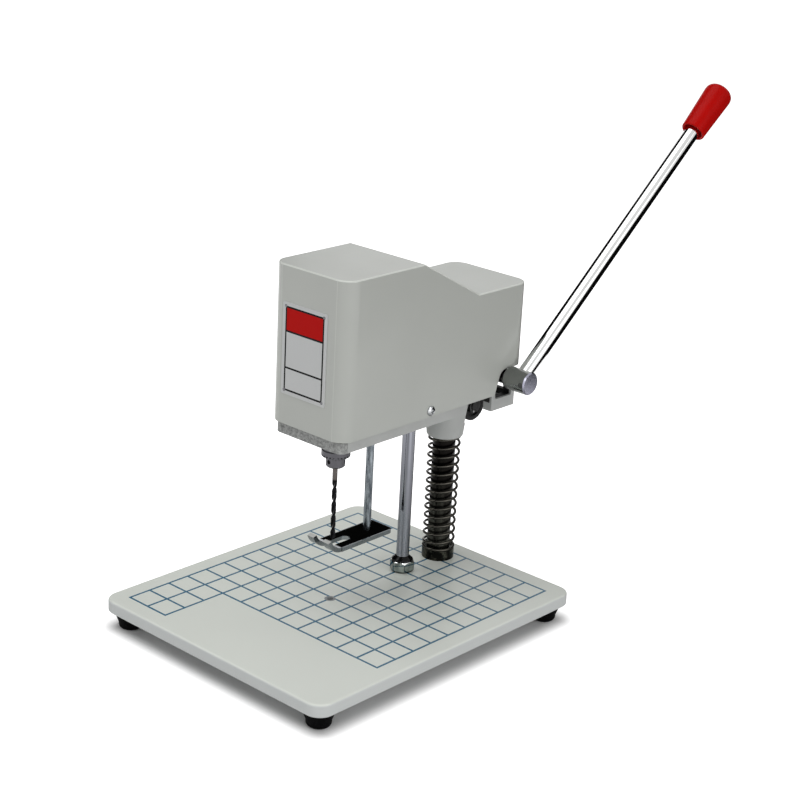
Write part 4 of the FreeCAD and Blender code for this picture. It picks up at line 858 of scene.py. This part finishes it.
def dress_cad_nodes():
    """Give the CAD's own nodes their finishes."""
    give(grid_paint(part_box("base_plate")[0]), "base_plate")
    give(enamel("pad_plastic", (0.26, 0.28, 0.29), 0.5), "drill_pad")
    give(column_finish(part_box("column")[0]), "column")
    give(collar_finish(), "column_collar")
    give(cover_paint(*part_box("head_cover")), "head_cover")
    give(cast_paint(*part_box("head_casting")), "head_casting")
    give(label_print(*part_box("label_plate")), "label_plate")
    give(metal("rivet_steel", (0.16, 0.16, 0.17), 0.35), "label_rivets")
    give(metal("screw_chrome", (0.42, 0.43, 0.44), 0.10, spread=0.04), "cover_screws")
    give(zinc_plate(), "presser_ring", "foot_screws")
    give(presser_finish(*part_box("presser_plate")), "presser_plate")
    give(blackened("black_oxide"),
         "column_screw", "column_stop_ring", "motor_screws", "lever_clip", "lever_set_screw")
    give(blackened("flange_black", (0.003, 0.003, 0.003), 0.3, (0.05, 0.05, 0.05)),
         "idler_flange", "idler_clip", "idler_axle")
    give(metal("chuck_steel", (0.115, 0.113, 0.124), 0.34, streak=(1, 1, 12)),
         "chuck_body", "chuck_sleeve", "chuck_jaw_1", "chuck_jaw_2", "chuck_jaw_3", "spindle")
    give(metal("ground_steel", (0.42, 0.42, 0.43), 0.28, streak=(12, 1, 1)),
         "lever_shaft", "lever_gear", "gear_pin", "idler_pinion", "idler_gear")
    give(hub_finish(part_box("lever_hub")[1]), "lever_hub")
    give(bronze(), "column_bush_lower", "column_bush_upper", "guide_bush", "presser_bush",
         "shaft_bush_left", "shaft_bush_right")
    give(enamel("black_enamel", (0.02, 0.02, 0.021), 0.4, gloss=0.25), "motor_body", "cable_gland")


# ---------------------------------------------------------------- surroundings

def put(made, place, target, forward):
    """Put an object in the scene, with one of its axes toward a target."""
    made.location = place
    made.rotation_mode = "QUATERNION"
    made.rotation_quaternion = (Vector(target) - Vector(place)).to_track_quat(forward, "Y")
    bpy.context.scene.collection.objects.link(made)


def rectangle(name, half_width, half_height):
    mesh = bpy.data.meshes.new(name)
    corners = [(-half_width, -half_height, 0), (half_width, -half_height, 0),
               (half_width, half_height, 0), (-half_width, half_height, 0)]
    mesh.from_pydata(corners, [], [(0, 1, 2, 3)])
    return bpy.data.objects.new(name, mesh)


def make_camera():
    data = bpy.data.cameras.new("camera")
    data.lens = CAMERA_LENS
    data.sensor_width = SENSOR_WIDTH
    data.clip_start, data.clip_end = CAMERA_CLIP
    camera = bpy.data.objects.new("camera", data)
    turn = Matrix.Rotation(math.radians(CAMERA_AZIMUTH), 4, "Z")
    tilt = Matrix.Rotation(math.radians(90 - CAMERA_ELEVATION), 4, "X")
    roll = Matrix.Rotation(math.radians(CAMERA_ROLL), 4, "Z")
    camera.matrix_world = Matrix.Translation(CAMERA_PLACE) @ turn @ tilt @ roll
    bpy.context.scene.collection.objects.link(camera)
    bpy.context.scene.camera = camera


def make_lights():
    for name, place, target, size, power in LAMPS:
        data = bpy.data.lights.new(name, "AREA")
        data.shape = "RECTANGLE"
        data.size, data.size_y = size
        data.energy = power
        put(bpy.data.objects.new(name, data), place, target, "-Z")


def make_flags():
    for name, place, target, size in FLAGS:
        card = rectangle(name, size[0] / 2, size[1] / 2)
        put(card, place, target, "Z")
        m = Surface(name)
        m.set(Base_Color=FLAG_BLACK, Roughness=1.0, Specular_IOR_Level=0.0)
        card.data.materials.append(m.material)
        card.visible_camera = False
        card.visible_diffuse = False
        card.visible_shadow = False
        card.visible_transmission = False


def make_world():
    """Soft light from all round, and plain white where the world itself is seen."""
    world = bpy.data.worlds.new("studio")
    bpy.context.scene.world = world
    world.use_nodes = True
    g = Graph(world.node_tree)
    g.tree.nodes.clear()
    room = g.node("ShaderNodeBackground")
    g.feed(room.inputs["Color"], (1, 1, 1))
    seen = g.seen(g.node("ShaderNodeLightPath"))
    g.feed(room.inputs["Strength"], g.spread(seen, WORLD_LIGHT, 1))
    g.feed(g.node("ShaderNodeOutputWorld").inputs["Surface"], room.outputs[0])


def make_floor():
    """A pale floor that keeps the shadow beside the plate and is plain white further off.
    Reflections see it grey for a little further, like a table top."""
    floor = rectangle("floor", FLOOR_HALF, FLOOR_HALF)
    bpy.context.scene.collection.objects.link(floor)
    material = bpy.data.materials.new("floor_white")
    material.use_nodes = True
    g = Graph(material.node_tree)
    g.tree.nodes.clear()
    diffuse = g.node("ShaderNodeBsdfDiffuse")
    g.feed(diffuse.inputs["Color"], FLOOR_GREY)

    low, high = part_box("base_plate")
    place = g.split(g.node("ShaderNodeTexCoord").outputs["Object"])
    squares = []
    for axis in range(2):
        centre, reach = (low[axis] + high[axis]) / 2, (high[axis] - low[axis]) / 2 - SHADOW_INSET
        past = g.math("MAXIMUM", g.minus(g.absolute(g.minus(place[axis], centre)), reach), 0)
        squares.append(g.times(past, past))
    away = g.math("SQRT", g.math("ADD", *squares))

    path = g.node("ShaderNodeLightPath")
    reach = g.spread(path.outputs["Is Camera Ray"], GREY_REACH, SHADOW_REACH)
    fade = g.spread(away, 0, 1, 0, reach, "SMOOTHSTEP")
    glow = g.node("ShaderNodeEmission")
    g.feed(glow.inputs["Strength"], g.times(g.seen(path), fade))
    both = g.node("ShaderNodeAddShader")
    g.feed(both.inputs[0], diffuse.outputs[0])
    g.feed(both.inputs[1], glow.outputs[0])
    g.feed(g.node("ShaderNodeOutputMaterial").inputs["Surface"], both.outputs[0])
    floor.data.materials.append(material)


dress_cad_nodes()
make_pieces()
make_camera()
make_lights()
make_flags()
make_world()
make_floor()
bpy.context.scene.view_settings.view_transform = "Standard"
